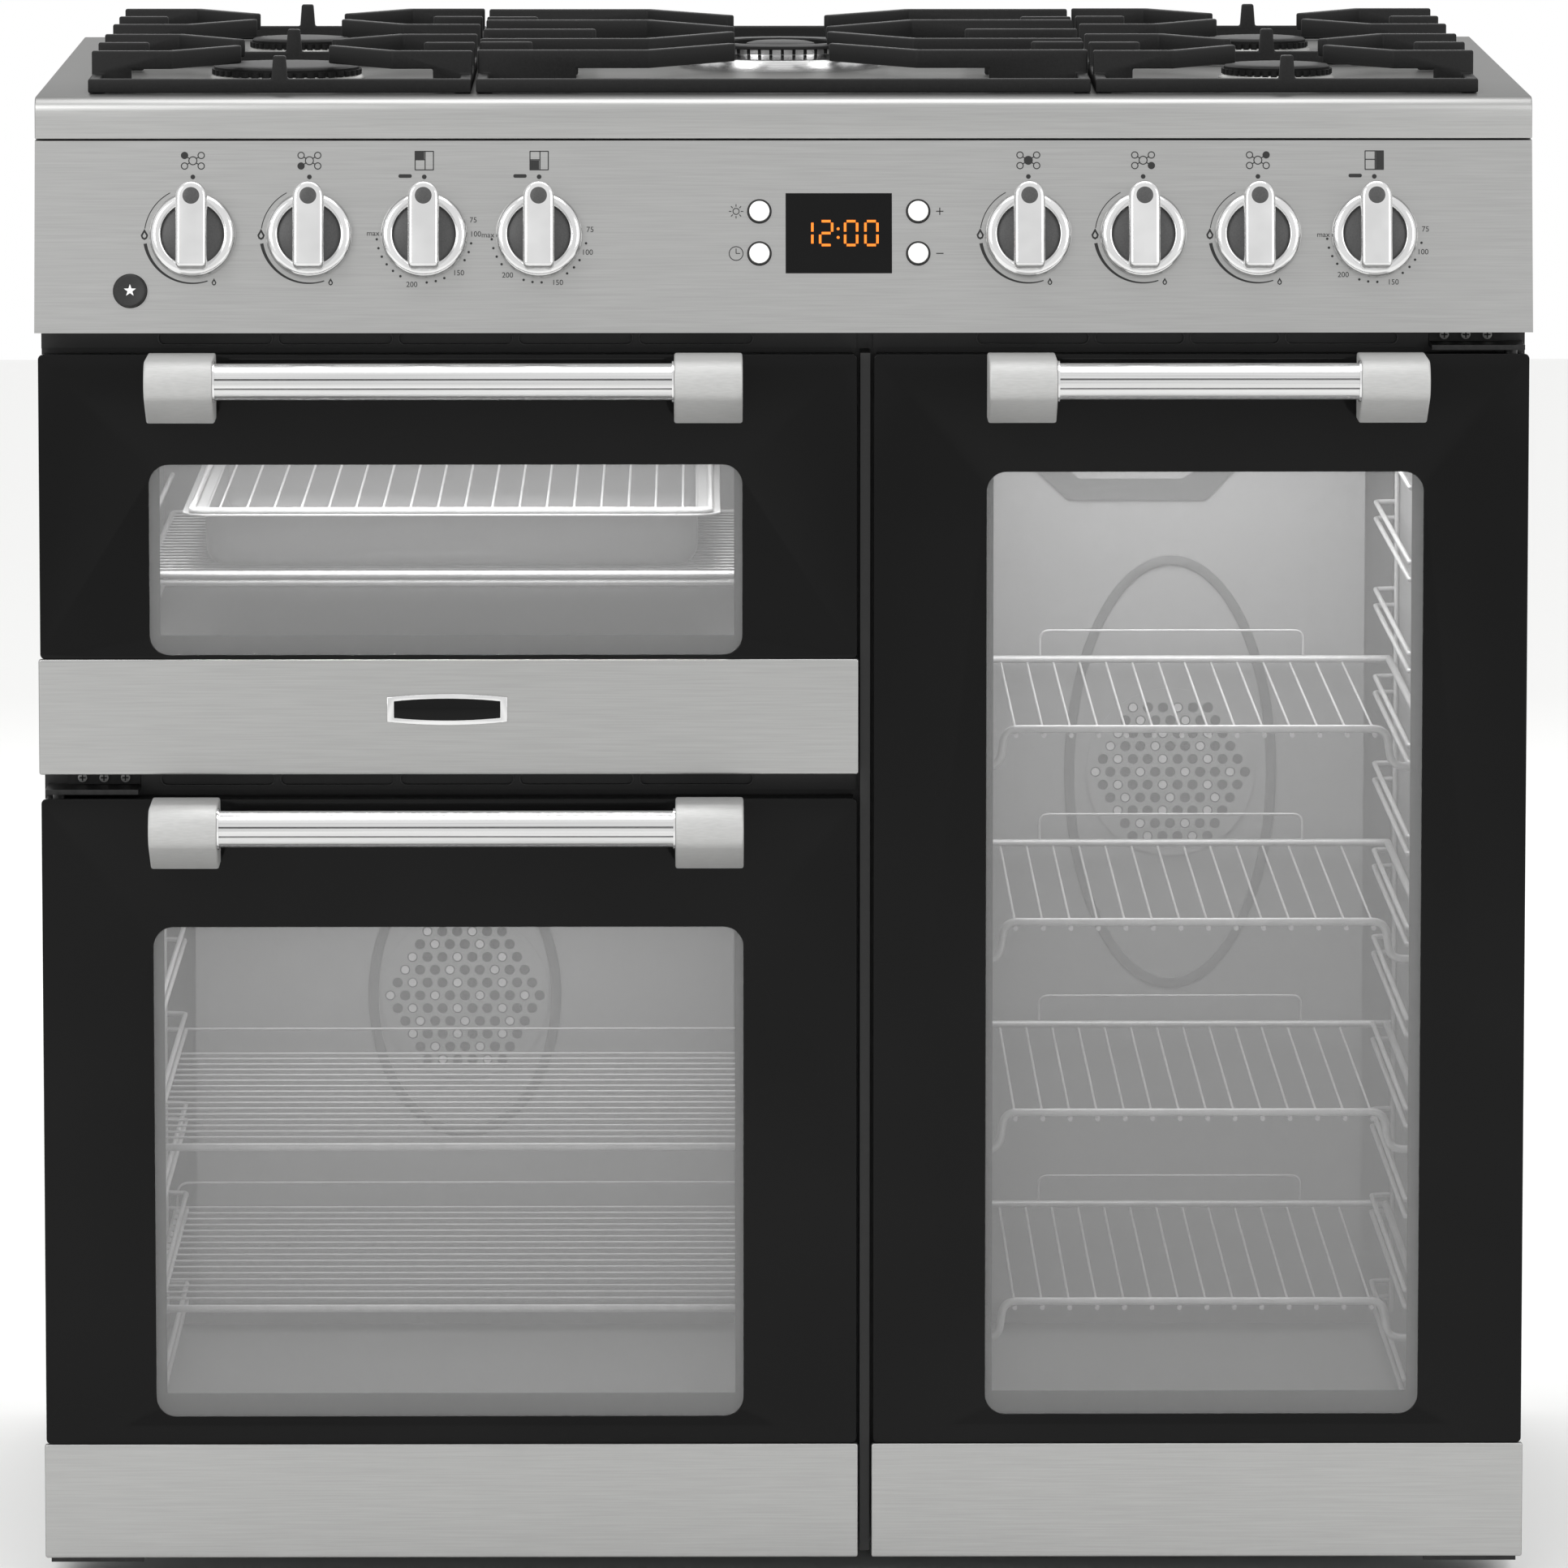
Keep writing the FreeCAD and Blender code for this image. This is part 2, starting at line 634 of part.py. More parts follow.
def grill_pan():
    """Pan of sheet: a floor, four walls and a rim around them."""
    x0, x1, y0, y1, low, rim = grill_pan_place()
    inner = (x0 + GRILL_PAN_RIM, x1 - GRILL_PAN_RIM, y0 + GRILL_PAN_RIM, y1 - GRILL_PAN_RIM)
    floor = box(*inner, low, low + PLATE)
    walls = hoop(*inner, PLATE, low + PLATE, rim - PLATE)
    return [floor] + walls + hoop(x0, x1, y0, y1, GRILL_PAN_RIM + PLATE, rim - PLATE, rim)


def grill_racks():
    """The shelf under the grill pan and the rack on the pan's rim."""
    x0, x1, y0, y1, level = grill_shelf_place()
    shelf = grid_plate(x0 + SHELF_SIDE, x1 - SHELF_SIDE, y0, y1, level, True)
    x0, x1, y0, y1, low, rim = grill_pan_place()
    return shelf + grid_plate(x0, x1, y0, y1, rim, False)


def grill_element():
    """One rod bent into straight runs joined by half circles, and two straps to the roof."""
    x0, x1, z0, z1 = GRILL.cavity
    z = z1 - GRILL_DROP
    turn = GRILL_PITCH / 2
    left, right = x0 + GRILL_SIDE + turn, x1 - GRILL_SIDE - turn
    y = FRAME_D + GRILL_SIDE
    edges = []
    for run in range(GRILL_RUNS):
        start, end = (left, right) if run % 2 == 0 else (right, left)
        edges.append(Part.makeLine(V(start, y, z), V(end, y, z)))
        if run < GRILL_RUNS - 1:
            bulge = end + math.copysign(turn, end - start)
            edges.append(Part.Arc(V(end, y, z), V(bulge, y + turn, z), V(end, y + GRILL_PITCH, z)).toShape())
        y += GRILL_PITCH
    ring = Part.makeCircle(ROD_R, V(left, FRAME_D + GRILL_SIDE, z), V(1, 0, 0))
    element = Part.Wire(edges).makePipeShell([Part.Wire([ring])], True, False)
    y0, y1 = FRAME_D + GRILL_SIDE, y - GRILL_PITCH
    straps = [box(x - ROD_R, x + ROD_R, y0, y1, z + ROD_R, z1) for x in (left, right)]
    return [element] + straps


def fan_cover(door):
    """Rear baffle with rings of ports in front of the fan, open at its back."""
    x0, x1, z0, z1 = (door.cavity[0] + BAFFLE_INSET, door.cavity[1] - BAFFLE_INSET,
                      door.cavity[2] + BAFFLE_INSET, door.cavity[3] - BAFFLE_INSET)
    cover = box(x0, x1, BAFFLE_FRONT, CAVITY_BACK, z0, z1)
    cover = cover.cut(box(x0 + SHEET, x1 - SHEET, BAFFLE_FRONT + SHEET, CAVITY_BACK, z0 + SHEET, z1 - SHEET))
    x, z = fan_place(door)
    ports = [rod(PORT_R, (x, BAFFLE_FRONT, z), (x, BAFFLE_FRONT + SHEET, z))]
    for ring in range(1, PORT_RINGS + 1):
        radius = ring * PORT_PITCH
        count = PORT_STEP * ring
        for index in range(count):
            angle = 2 * math.pi * index / count
            px, pz = x + radius * math.cos(angle), z + radius * math.sin(angle)
            ports.append(rod(PORT_R, (px, BAFFLE_FRONT, pz), (px, BAFFLE_FRONT + SHEET, pz)))
    return cover.cut(Part.makeCompound(ports))


def oven_fan(door):
    """Paddle fan with its shaft through the cavity wall into the motor."""
    x, z = fan_place(door)
    y0 = BAFFLE_FRONT + FAN_GAP
    disc = rod(FAN_R, (x, y0 + FAN_T - SHEET, z), (x, y0 + FAN_T, z))
    shaft = rod(SHAFT_R, (x, y0, z), (x, MOTOR_FRONT + SHAFT_IN, z))
    blades = []
    for index in range(BLADES):
        blade = box(x + HUB_R, x + FAN_R, y0, y0 + FAN_T, z - SHEET / 2, z + SHEET / 2)
        blade.rotate(V(x, 0, z), V(0, 1, 0), 360 * index / BLADES)
        blades.append(blade)
    return joined([disc, shaft] + blades)


def fan_motor(door):
    x, z = fan_place(door)
    body = rod(MOTOR_R, (x, MOTOR_FRONT, z), (x, MOTOR_FRONT + MOTOR_L, z))
    bore_end = MOTOR_FRONT + SHAFT_IN + SHAFT_END_GAP
    return body.cut(rod(SHAFT_R + RUN_CLEAR, (x, MOTOR_FRONT, z), (x, bore_end, z)))


def ring_element(door):
    x, z = fan_place(door)
    y = BAFFLE_FRONT + FAN_GAP + FAN_T
    ring = Part.makeTorus(ELEMENT_R, ROD_R, V(x, y, z), V(0, 1, 0))
    leg = rod(ROD_R, (x, y, z + ELEMENT_R), (x, CAVITY_BACK, z + ELEMENT_R))
    return joined([ring, leg])


def heating_elements():
    return grill_element() + [ring_element(door) for door in OVENS]


def panel_block(x, y, size_x, size_y, z0, z1):
    """Block in the panel's own axes, centred on (x, y)."""
    return box(x - size_x / 2, x + size_x / 2, y - size_y / 2, y + size_y / 2, z0, z1)


def panel_hole(radius, x, rise):
    return on_panel(Part.makeCylinder(radius, 2 * PANEL_CUT, V(0, 0, -PANEL_CUT)), x, rise)


def control_panel():
    """Leaning sheet with end cheeks and returns, drilled for the controls."""
    top = PANEL_Z + PANEL_H
    half = CASE_W / 2
    outer = prism([(0, PANEL_Z), (PANEL_LEAN, top), (FRAME_D, top), (FRAME_D, PANEL_Z)], -half, half)
    slope = PANEL_LEAN / PANEL_H
    low, high = PLATE, PANEL_H - PLATE
    hollow = prism([(slope * low + PANEL_WALL, PANEL_Z + low), (slope * high + PANEL_WALL, PANEL_Z + high),
                    (FRAME_D, PANEL_Z + high), (FRAME_D, PANEL_Z + low)],
                   PLATE - half, half - PLATE)
    panel = outer.cut(hollow)
    holes = [panel_hole(SPINDLE_HOLE_R, x, KNOB_RISE) for x in KNOB_X]
    for x in (CLOCK_X - BUTTON_SPAN, CLOCK_X + BUTTON_SPAN):
        holes += [panel_hole(BUTTON_R + HOLE_CLEAR, x, rise) for rise in BUTTON_RISES]
    holes.append(panel_hole(IGNITION_R + HOLE_CLEAR, IGNITION_X, IGNITION_RISE))
    lens = panel_block(0, 0, LENS_W + HOLE_CLEAR, LENS_H + HOLE_CLEAR, -PANEL_CUT, PANEL_CUT)
    holes.append(on_panel(lens, CLOCK_X, CLOCK_RISE))
    return panel.cut(Part.makeCompound(holes))


def knob(x):
    """Round skirt with a grip bar that passes its edge at the top, and the spindle it sits on."""
    skirt = Part.makeCylinder(KNOB_R, KNOB_SKIRT, V(0, 0, KNOB_CLEAR))
    tip = GRIP_TOP - GRIP_W / 2
    bar = box(-GRIP_W / 2, GRIP_W / 2, -GRIP_TAIL, tip, KNOB_CLEAR, KNOB_H)
    nose = Part.makeCylinder(GRIP_W / 2, KNOB_H - KNOB_CLEAR, V(0, tip, KNOB_CLEAR))
    spindle = Part.makeCylinder(SPINDLE_R, SPINDLE_UP + SPINDLE_DEEP, V(0, 0, -SPINDLE_DEEP))
    grip = joined([skirt, bar, nose]).cut(spindle)
    return [on_panel(grip, x, KNOB_RISE), on_panel(spindle, x, KNOB_RISE)]


def control_body(x, size, length):
    """Body behind the panel with a threaded bush, bored for a knob's spindle."""
    seat = -PLATE - BUSH_L
    bush = Part.makeCylinder(BUSH_R, BUSH_L, V(0, 0, seat))
    body = panel_block(0, 0, size, size, seat - length, seat)
    bore_l = SPINDLE_DEEP + RUN_CLEAR
    bore = Part.makeCylinder(SPINDLE_R + RUN_CLEAR, bore_l, V(0, 0, -bore_l))
    return on_panel(joined([bush, body]).cut(bore), x, KNOB_RISE)


def gas_rail():
    """Square rail along the taps, with the pipe to the inlet stub at the rear, and the taps."""
    gas_x = [x for x, name in zip(KNOB_X, KNOB_NAMES) if name not in OVEN_KNOBS]
    x0, x1 = min(gas_x) - RAIL_OVER, max(gas_x) + RAIL_OVER
    top = -PLATE - BUSH_L - TAP_L
    half = RAIL_SIZE / 2
    tube = box(x0, x1, -half, half, top - RAIL_SIZE, top)
    bore = half - RAIL_WALL
    tube = tube.cut(box(x0, x1, -bore, bore, top - RAIL_SIZE + RAIL_WALL, top - RAIL_WALL))
    tube = on_panel(tube, 0, KNOB_RISE)
    middle = tube.BoundBox.Center
    x = x1 - RAIL_SIZE
    pipe = rod(PIPE_R, (x, middle.y + half, middle.z), (x, REAR_D, middle.z))
    stub = rod(INLET_R, (x, REAR_D, middle.z), (x, REAR_D + INLET_L, middle.z))
    taps = [control_body(gas, TAP_SIZE, TAP_L) for gas in gas_x]
    return [joined([tube, pipe, stub])] + taps, (x, middle.z)


def pressed_button(x, rise, radius):
    button = Part.makeCylinder(radius, BUTTON_DEEP + BUTTON_PROUD, V(0, 0, -BUTTON_DEEP))
    return on_panel(button, x, rise)


def button_pocket(x, y, radius):
    depth = BUTTON_DEEP + BUTTON_TRAVEL + LENS_PROUD
    return Part.makeCylinder(radius + RUN_CLEAR, depth, V(x, y, -depth))


def clock_module():
    """Housing behind the panel with the display lens and pockets for the four buttons."""
    body = panel_block(0, 0, CLOCK_W, CLOCK_H, -PLATE - CLOCK_L, -PLATE)
    lens = panel_block(0, 0, LENS_W, LENS_H, -PLATE, LENS_PROUD)
    module = joined([body, lens])
    for x in (-BUTTON_SPAN, BUTTON_SPAN):
        for rise in BUTTON_RISES:
            up = (rise - CLOCK_RISE) / math.cos(math.radians(PANEL_ANGLE))
            module = module.cut(button_pocket(x, up, BUTTON_R))
    return on_panel(module, CLOCK_X, CLOCK_RISE)


def oven_controls():
    solids = [control_body(x, OVEN_CONTROL_SIZE, OVEN_CONTROL_L)
              for x, name in zip(KNOB_X, KNOB_NAMES) if name in OVEN_KNOBS]
    switch = panel_block(0, 0, SWITCH_SIZE, SWITCH_SIZE, -PLATE - OVEN_CONTROL_L, -PLATE)
    switch = switch.cut(button_pocket(0, 0, IGNITION_R))
    return solids + [on_panel(switch, IGNITION_X, IGNITION_RISE)]


def hob_top():
    """Pressed tray with a rounded front lip."""
    half = CASE_W / 2
    tray = box(-half, half, PANEL_LEAN, CASE_D, HOB_UNDER, HOB_Z)
    hollow = box(PLATE - half, half - PLATE, PANEL_LEAN + PLATE, CASE_D - PLATE, HOB_UNDER, HOB_Z - PLATE)
    edges = []
    for solid, y, z, radius in ((tray, PANEL_LEAN, HOB_Z, HOB_LIP_R),
                                (hollow, PANEL_LEAN + PLATE, HOB_Z - PLATE, HOB_LIP_R - PLATE)):
        edge = [e for e in solid.Edges
                if abs(e.CenterOfMass.y - y) < RUN_CLEAR and abs(e.CenterOfMass.z - z) < RUN_CLEAR]
        edges.append(solid.makeFillet(radius, edge))
    return edges[0].cut(edges[1])


def burner_places():
    front, rear = SUPPORT_MID - BURNER_PITCH / 2, SUPPORT_MID + BURNER_PITCH / 2
    return ((-SIDE_BURNER_X, front, FRONT_LEFT_R), (-SIDE_BURNER_X, rear, REAR_R),
            (SIDE_BURNER_X, front, FRONT_RIGHT_R), (SIDE_BURNER_X, rear, REAR_R))


def burner_bases():
    solids = [rod(r + BASE_EXTRA, (x, y, HOB_Z), (x, y, HOB_Z + BASE_H)) for x, y, r in burner_places()]
    return solids + [rod(WOK_R, (0, SUPPORT_MID, HOB_Z), (0, SUPPORT_MID, HOB_Z + BASE_H))]


def burner_caps():
    low, high = HOB_Z + BASE_H, HOB_Z + BASE_H + CAP_H
    solids = [rod(r, (x, y, low), (x, y, high)) for x, y, r in burner_places()]
    centre = ((0, SUPPORT_MID, low), (0, SUPPORT_MID, high))
    ring = rod(WOK_RING_OUT, *centre).cut(rod(WOK_RING_IN, *centre))
    return solids + [ring, rod(WOK_CAP_R, *centre)]


def blade(start, end):
    """Upright finger blade between two plan points."""
    along = V(end[0] - start[0], end[1] - start[1], 0)
    plate = Part.makeBox(along.Length, FINGER_T, FINGER_H, V(0, -FINGER_T / 2, 0))
    plate.rotate(V(0, 0, 0), V(0, 0, 1), math.degrees(math.atan2(along.y, along.x)))
    plate.translate(V(start[0], start[1], FINGER_Z))
    return plate


def finger(cx, side, root, route, web=BAR_T):
    """Finger from the outer bar: a deep web at its root and blades along the route."""
    edge_x = cx + side * (root[0] - BAR_T / 2)
    web_x = sorted((cx + side * root[0], cx + side * (root[0] - web)))
    post = box(*web_x, root[1] - FINGER_T / 2, root[1] + FINGER_T / 2,
               BAR_TOP - SUPPORT_BAR_H, FINGER_Z + FINGER_H)
    points = [(edge_x, root[1])] + [(cx + side * x, y) for x, y in route]
    elbows = [rod(FINGER_T / 2, (x, y, FINGER_Z), (x, y, FINGER_Z + FINGER_H)) for x, y in points[1:]]
    return [post] + [blade(a, b) for a, b in zip(points, points[1:])] + elbows


def support_frame(cx, width, cross_bars):
    """Outer bars, cross bars, and short legs at the corners."""
    x0, x1 = cx - width / 2, cx + width / 2
    y0, y1 = SUPPORT_FRONT, SUPPORT_FRONT + SUPPORT_D
    low = BAR_TOP - SUPPORT_BAR_H
    bars = [box(x0, x0 + BAR_T, y0, y1, low, BAR_TOP), box(x1 - BAR_T, x1, y0, y1, low, BAR_TOP)]
    for y in [y0 + BAR_T / 2, y1 - BAR_T / 2] + cross_bars:
        bars.append(box(x0, x1, y - BAR_T / 2, y + BAR_T / 2, low, BAR_TOP))
    for x in (x0, x1 - BAR_T):
        for y in (y0, y1 - SUPPORT_LEG_L):
            bars.append(box(x, x + BAR_T, y, y + SUPPORT_LEG_L, HOB_Z, BAR_TOP))
    return bars


def support_post(cx, y):
    """Upright post on a cross bar, narrower at its top."""
    low, high = BAR_TOP - SUPPORT_BAR_H, FINGER_Z + FINGER_H
    outline = [(-POST_W / 2, low), (POST_W / 2, low), (POST_TOP_W / 2, high), (-POST_TOP_W / 2, high)]
    corners = [V(cx + x, y - BAR_T / 2, z) for x, z in outline]
    return Part.Face(Part.makePolygon(corners + corners[:1])).extrude(V(0, BAR_T, 0))


def side_support(cx):
    half = SIDE_SUPPORT_W / 2
    pieces = support_frame(cx, SIDE_SUPPORT_W, [SUPPORT_MID])
    for y in (SUPPORT_MID - BURNER_PITCH / 2, SUPPORT_MID + BURNER_PITCH / 2):
        for side in (-1, 1):
            for fore in (-1, 1):
                bend = (SIDE_BEND[0], y + fore * SIDE_BEND[1])
                tip = (SIDE_TIP[0], y + fore * SIDE_TIP[1])
                pieces += finger(cx, side, (half, bend[1]), [bend, tip], SIDE_WEB)
            pieces += finger(cx, side, (half, y), [(half - SIDE_SHORT, y)])
    ends = (SUPPORT_FRONT + BAR_T / 2, SUPPORT_MID, SUPPORT_FRONT + SUPPORT_D - BAR_T / 2)
    pieces += [support_post(cx, y) for y in ends]
    return joined(pieces)


def wok_support():
    half = WOK_SUPPORT_W / 2
    pieces = support_frame(0, WOK_SUPPORT_W, [])
    for side in (-1, 1):
        for fore in (-1, 1):
            for root, tip in zip(WOK_ROOTS, WOK_TIPS):
                y = SUPPORT_MID + fore * root
                route = [(WOK_BEND, y), (WOK_TIP, SUPPORT_MID + fore * tip)]
                pieces += finger(0, side, (half, y), route, WOK_WEB)
            y = SUPPORT_MID + fore * WOK_SHORT_Y
            pieces += finger(0, side, (half, y), [(half - WOK_SHORT, y)])
        pieces += finger(0, side, (half, SUPPORT_MID), [(half - WOK_MIDDLE, SUPPORT_MID)])
    return joined(pieces)


def rear_panel(inlet):
    half = CASE_X - SHEET
    y0 = REAR_D - SHEET
    panel = box(-half, half, y0, REAR_D, BASE_Z, HOB_Z - PLATE)
    inlet_x, inlet_z = inlet
    holes = [rod(TIP_HOLE_R, (x, y0, TIP_Z), (x, REAR_D, TIP_Z)) for x in (-TIP_SPACING / 2, TIP_SPACING / 2)]
    holes.append(rod(PIPE_R, (inlet_x, y0, inlet_z), (inlet_x, REAR_D, inlet_z)))
    return panel.cut(Part.makeCompound(holes))


def terminal_box():
    half_w, half_h = TERMINAL_W / 2, TERMINAL_H / 2
    return box(TERMINAL_X - half_w, TERMINAL_X + half_w, REAR_D, REAR_D + TERMINAL_D,
               TERMINAL_Z - half_h, TERMINAL_Z + half_h)


def levelling_feet():
    feet = []
    for x in (FOOT_INSET - CASE_X, CASE_X - FOOT_INSET):
        for y in (FRAME_D + FOOT_PLATE + FOOT_INSET, REAR_D - FOOT_INSET):
            pad = rod(FOOT_R, (x, y, 0), (x, y, FOOT_PAD))
            feet.append(joined([pad, rod(STEM_R, (x, y, FOOT_PAD), (x, y, BASE_Z))]))
    return feet


def main():
    os.makedirs("parts", exist_ok=True)
    for door in DOORS:
        save(door.name + "_glass", [door_glass(door)])
        save(door.name + "_trim", [door_trim(door)])
        save(door.name + "_frame", door_frame(door))
        save(door.name + "_inner_glass", [door_pane(door)])
        save(door.name + "_handle", door_handle(door))
    for x, name in zip(KNOB_X, KNOB_NAMES):
        save(name, knob(x))
    for x, names in zip((CLOCK_X - BUTTON_SPAN, CLOCK_X + BUTTON_SPAN), BUTTON_NAMES):
        for rise, name in zip(BUTTON_RISES, names):
            save(name, [pressed_button(x, rise, BUTTON_R)])
    save("button_ignition", [pressed_button(IGNITION_X, IGNITION_RISE, IGNITION_R)])
    save("pan_support_left", [side_support(-SIDE_BURNER_X)])
    save("pan_support_middle", [wok_support()])
    save("pan_support_right", [side_support(SIDE_BURNER_X)])
    save("main_oven_fan", [oven_fan(MAIN)])
    save("tall_oven_fan", [oven_fan(TALL)])

    rail, inlet = gas_rail()
    inner = CASE_X - SHEET
    roof = HOB_Z - PLATE
    save("side_panels", [box(-CASE_X, -inner, FRAME_D, CASE_D - PLATE, BASE_Z, roof),
                         box(inner, CASE_X, FRAME_D, CASE_D - PLATE, BASE_Z, roof)])
    save("rear_panel", [rear_panel(inlet)])
    save("base_tray", [box(-inner, inner, FRAME_D, REAR_D - SHEET, BASE_Z, BASE_Z + PLATE)])
    save("front_frame", front_frame())
    save("vent_strips", vent_strips())
    save("control_panel", [control_panel()])
    save("hob_top", [hob_top()])
    save("grill_cavity", [cavity_shell(GRILL)])
    save("main_oven_cavity", [cavity_shell(MAIN)])
    save("tall_oven_cavity", [cavity_shell(TALL)])
    save("insulation", [insulation(door) for door in DOORS])
    save("fan_covers", [fan_cover(door) for door in OVENS])
    save("fan_motors", [fan_motor(door) for door in OVENS])
    save("heating_elements", heating_elements())
    save("shelf_runners", shelf_runners())
    save("oven_shelves", [oven_shelf(door, z) for door in OVENS for z in oven_levels(door)])
    save("grill_pan", grill_pan())
    save("grill_rack", grill_racks())
    save("oven_seals", [door_seal(door) for door in DOORS])
    save("hinge_brackets", hinge_brackets())
    save("burner_bases", burner_bases())
    save("burner_caps", burner_caps())
    save("gas_rail", rail)
    save("oven_controls", oven_controls())
    save("clock_module", [clock_module()])
    save("terminal_box", [terminal_box()])
    save("levelling_feet", levelling_feet())


main()
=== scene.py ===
import math
import bpy
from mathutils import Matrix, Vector


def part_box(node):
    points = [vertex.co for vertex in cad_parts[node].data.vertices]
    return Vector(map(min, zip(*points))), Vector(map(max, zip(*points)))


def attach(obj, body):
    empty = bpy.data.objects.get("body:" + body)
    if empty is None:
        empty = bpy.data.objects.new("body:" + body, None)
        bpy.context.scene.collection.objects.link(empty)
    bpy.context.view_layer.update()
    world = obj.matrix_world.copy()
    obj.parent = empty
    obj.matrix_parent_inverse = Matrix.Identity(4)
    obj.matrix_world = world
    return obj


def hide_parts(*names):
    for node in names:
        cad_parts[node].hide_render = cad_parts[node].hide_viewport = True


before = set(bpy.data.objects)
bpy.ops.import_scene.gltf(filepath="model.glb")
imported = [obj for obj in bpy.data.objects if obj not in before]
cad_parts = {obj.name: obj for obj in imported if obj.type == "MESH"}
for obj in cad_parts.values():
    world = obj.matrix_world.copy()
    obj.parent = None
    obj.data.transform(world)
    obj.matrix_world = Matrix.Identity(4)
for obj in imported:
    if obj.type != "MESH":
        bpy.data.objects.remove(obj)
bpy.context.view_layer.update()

# Range cooker in brushed steel and black glass. Sizes are millimetres, turned to metres by MM, and degrees.
MM = 0.001
SHARP_EDGE = 40
DOORS = ("grill_door", "main_door", "tall_door")

# Doors: window margins from the left, right, lower and upper edges of each door
WINDOWS = {"grill_door": (66, 69, 72.5, 66.4),
           "main_door": (67, 68.5, 87, 78),
           "tall_door": (68, 63, 88, 71)}
WINDOW_R = 12
GLASS_R = 3
GLASS_EDGE = 0.6
PANE_GAP = 0.1
PANE_FRONT = 0.3
PANE_BACK = 0.2
TRIM_R = 1.5
TRIM_EDGE = 1.2

# Bare plate on the grill door's trim: its place, then width, height and bow of its rim and of its field
BADGE_X = -203
BADGE_Z = 537.6
BADGE_SUNK = 0.05
BADGE_RIM = (72.5, 15, 2)
BADGE_FIELD = (64, 10, 1.6)

# Handles: a bar with two grooves, given in degrees around it, between two end castings with thin collars
BAR_R = 11
BAR_IN = 2
BAR_OUT = 48
GROOVES = (168, 198)
GROOVE_DEEP = 1.6
CAP_W = 41
CAP_R = 13
CAP_DROP = 27
CAP_TOE = 25
CAP_EDGE = 1.4
COLLAR_IN = BAR_R + 0.1
COLLAR_OUT = BAR_R + 1.4
COLLAR_L = 1.2
NOSE_BACK = 0.05

# Control panel: it leans back by PANEL_LEAN over PANEL_H
PANEL_H = 114
PANEL_LEAN = 22
LEAN = math.atan2(PANEL_LEAN, PANEL_H)

# Knobs: X of each, all at KNOB_RISE above the panel's lower edge, and what is filled in the sign above each
KNOB_RISE = 58
DOT_RISE = 21
KNOBS = {"knob_rear_left": -355, "knob_front_left": -285, "knob_grill": -216, "knob_main_oven": -147,
         "knob_wok": 147, "knob_front_right": 216, "knob_rear_right": 285, "knob_tall_oven": 355}
OVEN_KNOBS = {"knob_grill": 0, "knob_main_oven": 1, "knob_tall_oven": 2}
GAS_KNOBS = {"knob_rear_left": (-1, 1), "knob_front_left": (-1, -1), "knob_wok": (0, 0),
             "knob_front_right": (1, -1), "knob_rear_right": (1, 1)}

# Clock and buttons: X and height above the panel's lower edge
CLOCK_X = 33
CLOCK_RISE = 59
BUTTONS = {"button_light": (-14.7, 72), "button_clock": (-14.7, 47), "button_plus": (80.7, 72),
           "button_minus": (80.7, 47)}
IGNITION = (-392.5, 25)

# Panel prints: heights and radii are from the centre of their knob
INK_LIFT = 0.06
INK_T = 0.08
SIGN_RISE = 45
SIGN_HALF = 5.9
MARK_RISE = 35.2
MARK_R = 1.4
STROKE = 0.6
ARC_R = 29
DOTS_R = 28.6
NUMBER_R = 30.8
NUMBER_SIZE = 4.6
TEMPERATURES = ("75", "100", "150", "200", "max")
GRILL_ANGLES = (17, 1, -48, -104, 178)
OVEN_ANGLES = (6, -20, -69, -128, 180)
CLOCK_SIGN_X = 14
PLUS_SIGN_X = 13
PLUS_HALF = 2.2

# Clock figures: the time's digits with their places, and the lit segments of each digit
CLOCK_TIME = (("1", -19.5), ("2", -7.6), ("0", 7.4), ("0", 19.6))
SEGMENTS = {"0": "abcdef", "1": "bc", "2": "abged"}
LED_LOW = 0.56
LED_HIGH = 0.7

# Vent slots: left end, lengths and height of each row
VENT_ROWS = ((-377, (68,) * 5, 758.5), (-377, (68,) * 5, 490.5), (117, (67, 53, 53, 67), 758.5))
SLOT_GAP = 4.5
SLOT_HALF = 3.5
SLOT_EDGE = 0.8

# Hinge brackets: middle screw of each, and the step to the next screw
BRACKETS = ((-412, 491.5), (412, 760.5))
BRACKET_T = 2
SCREW_STEP = 13

# Burners: X, Y and radius of the four round ones, and Y of the double ring in the middle
FRONT_Y = -86.5
REAR_Y = 173.5
BURNERS = ((-304, FRONT_Y, 47), (-304, REAR_Y, 33.5), (304, FRONT_Y, 35), (304, REAR_Y, 33.5))
WOK_Y = 43.5
SPARK_X = 70

# Pan supports: how far their rubber feet stand below the casting, the feet's inset, the casting's rounding
SUPPORT_FOOT = 0.6
FOOT_INSET = 6
SUPPORT_EDGE = 1.1

# Shelves: undersides of the rails, wire radii, pitches of the bars, and how far things stand from the sides
TALL_LEVELS = (162, 279, 396.5, 515)
MAIN_LEVELS = (158, 258)
RAIL_R = 2.4
BAR_WIRE_R = 0.75
BEAD_R = 1.5
TALL_PITCH = 17
MAIN_PITCH = 23
TALL_SIDE = 6
MAIN_SIDE = 9
UPSTAND = 18.5
UPSTAND_IN = 55
BARS_IN = 30
DIP = 23
DIP_W = 20
DIP_BACK = 30

# Side runners: pitch of the pairs, height of a pair, and how far the wires stand off their uprights
RUNNER_R = 1.6
RUNNER_PITCH = 54
RUNNER_PAIR = 10.5
RUNNER_STEP = 12
RUNNER_WALL = 3.2
RUNNER_LOW = 27
RUNNER_HIGH = 45
UPRIGHT_IN = 30
UPRIGHT_PAST = 5
GRILL_RUNNERS = (0, -28, 28, 54)
GRILL_RUNNER_WALL = 9

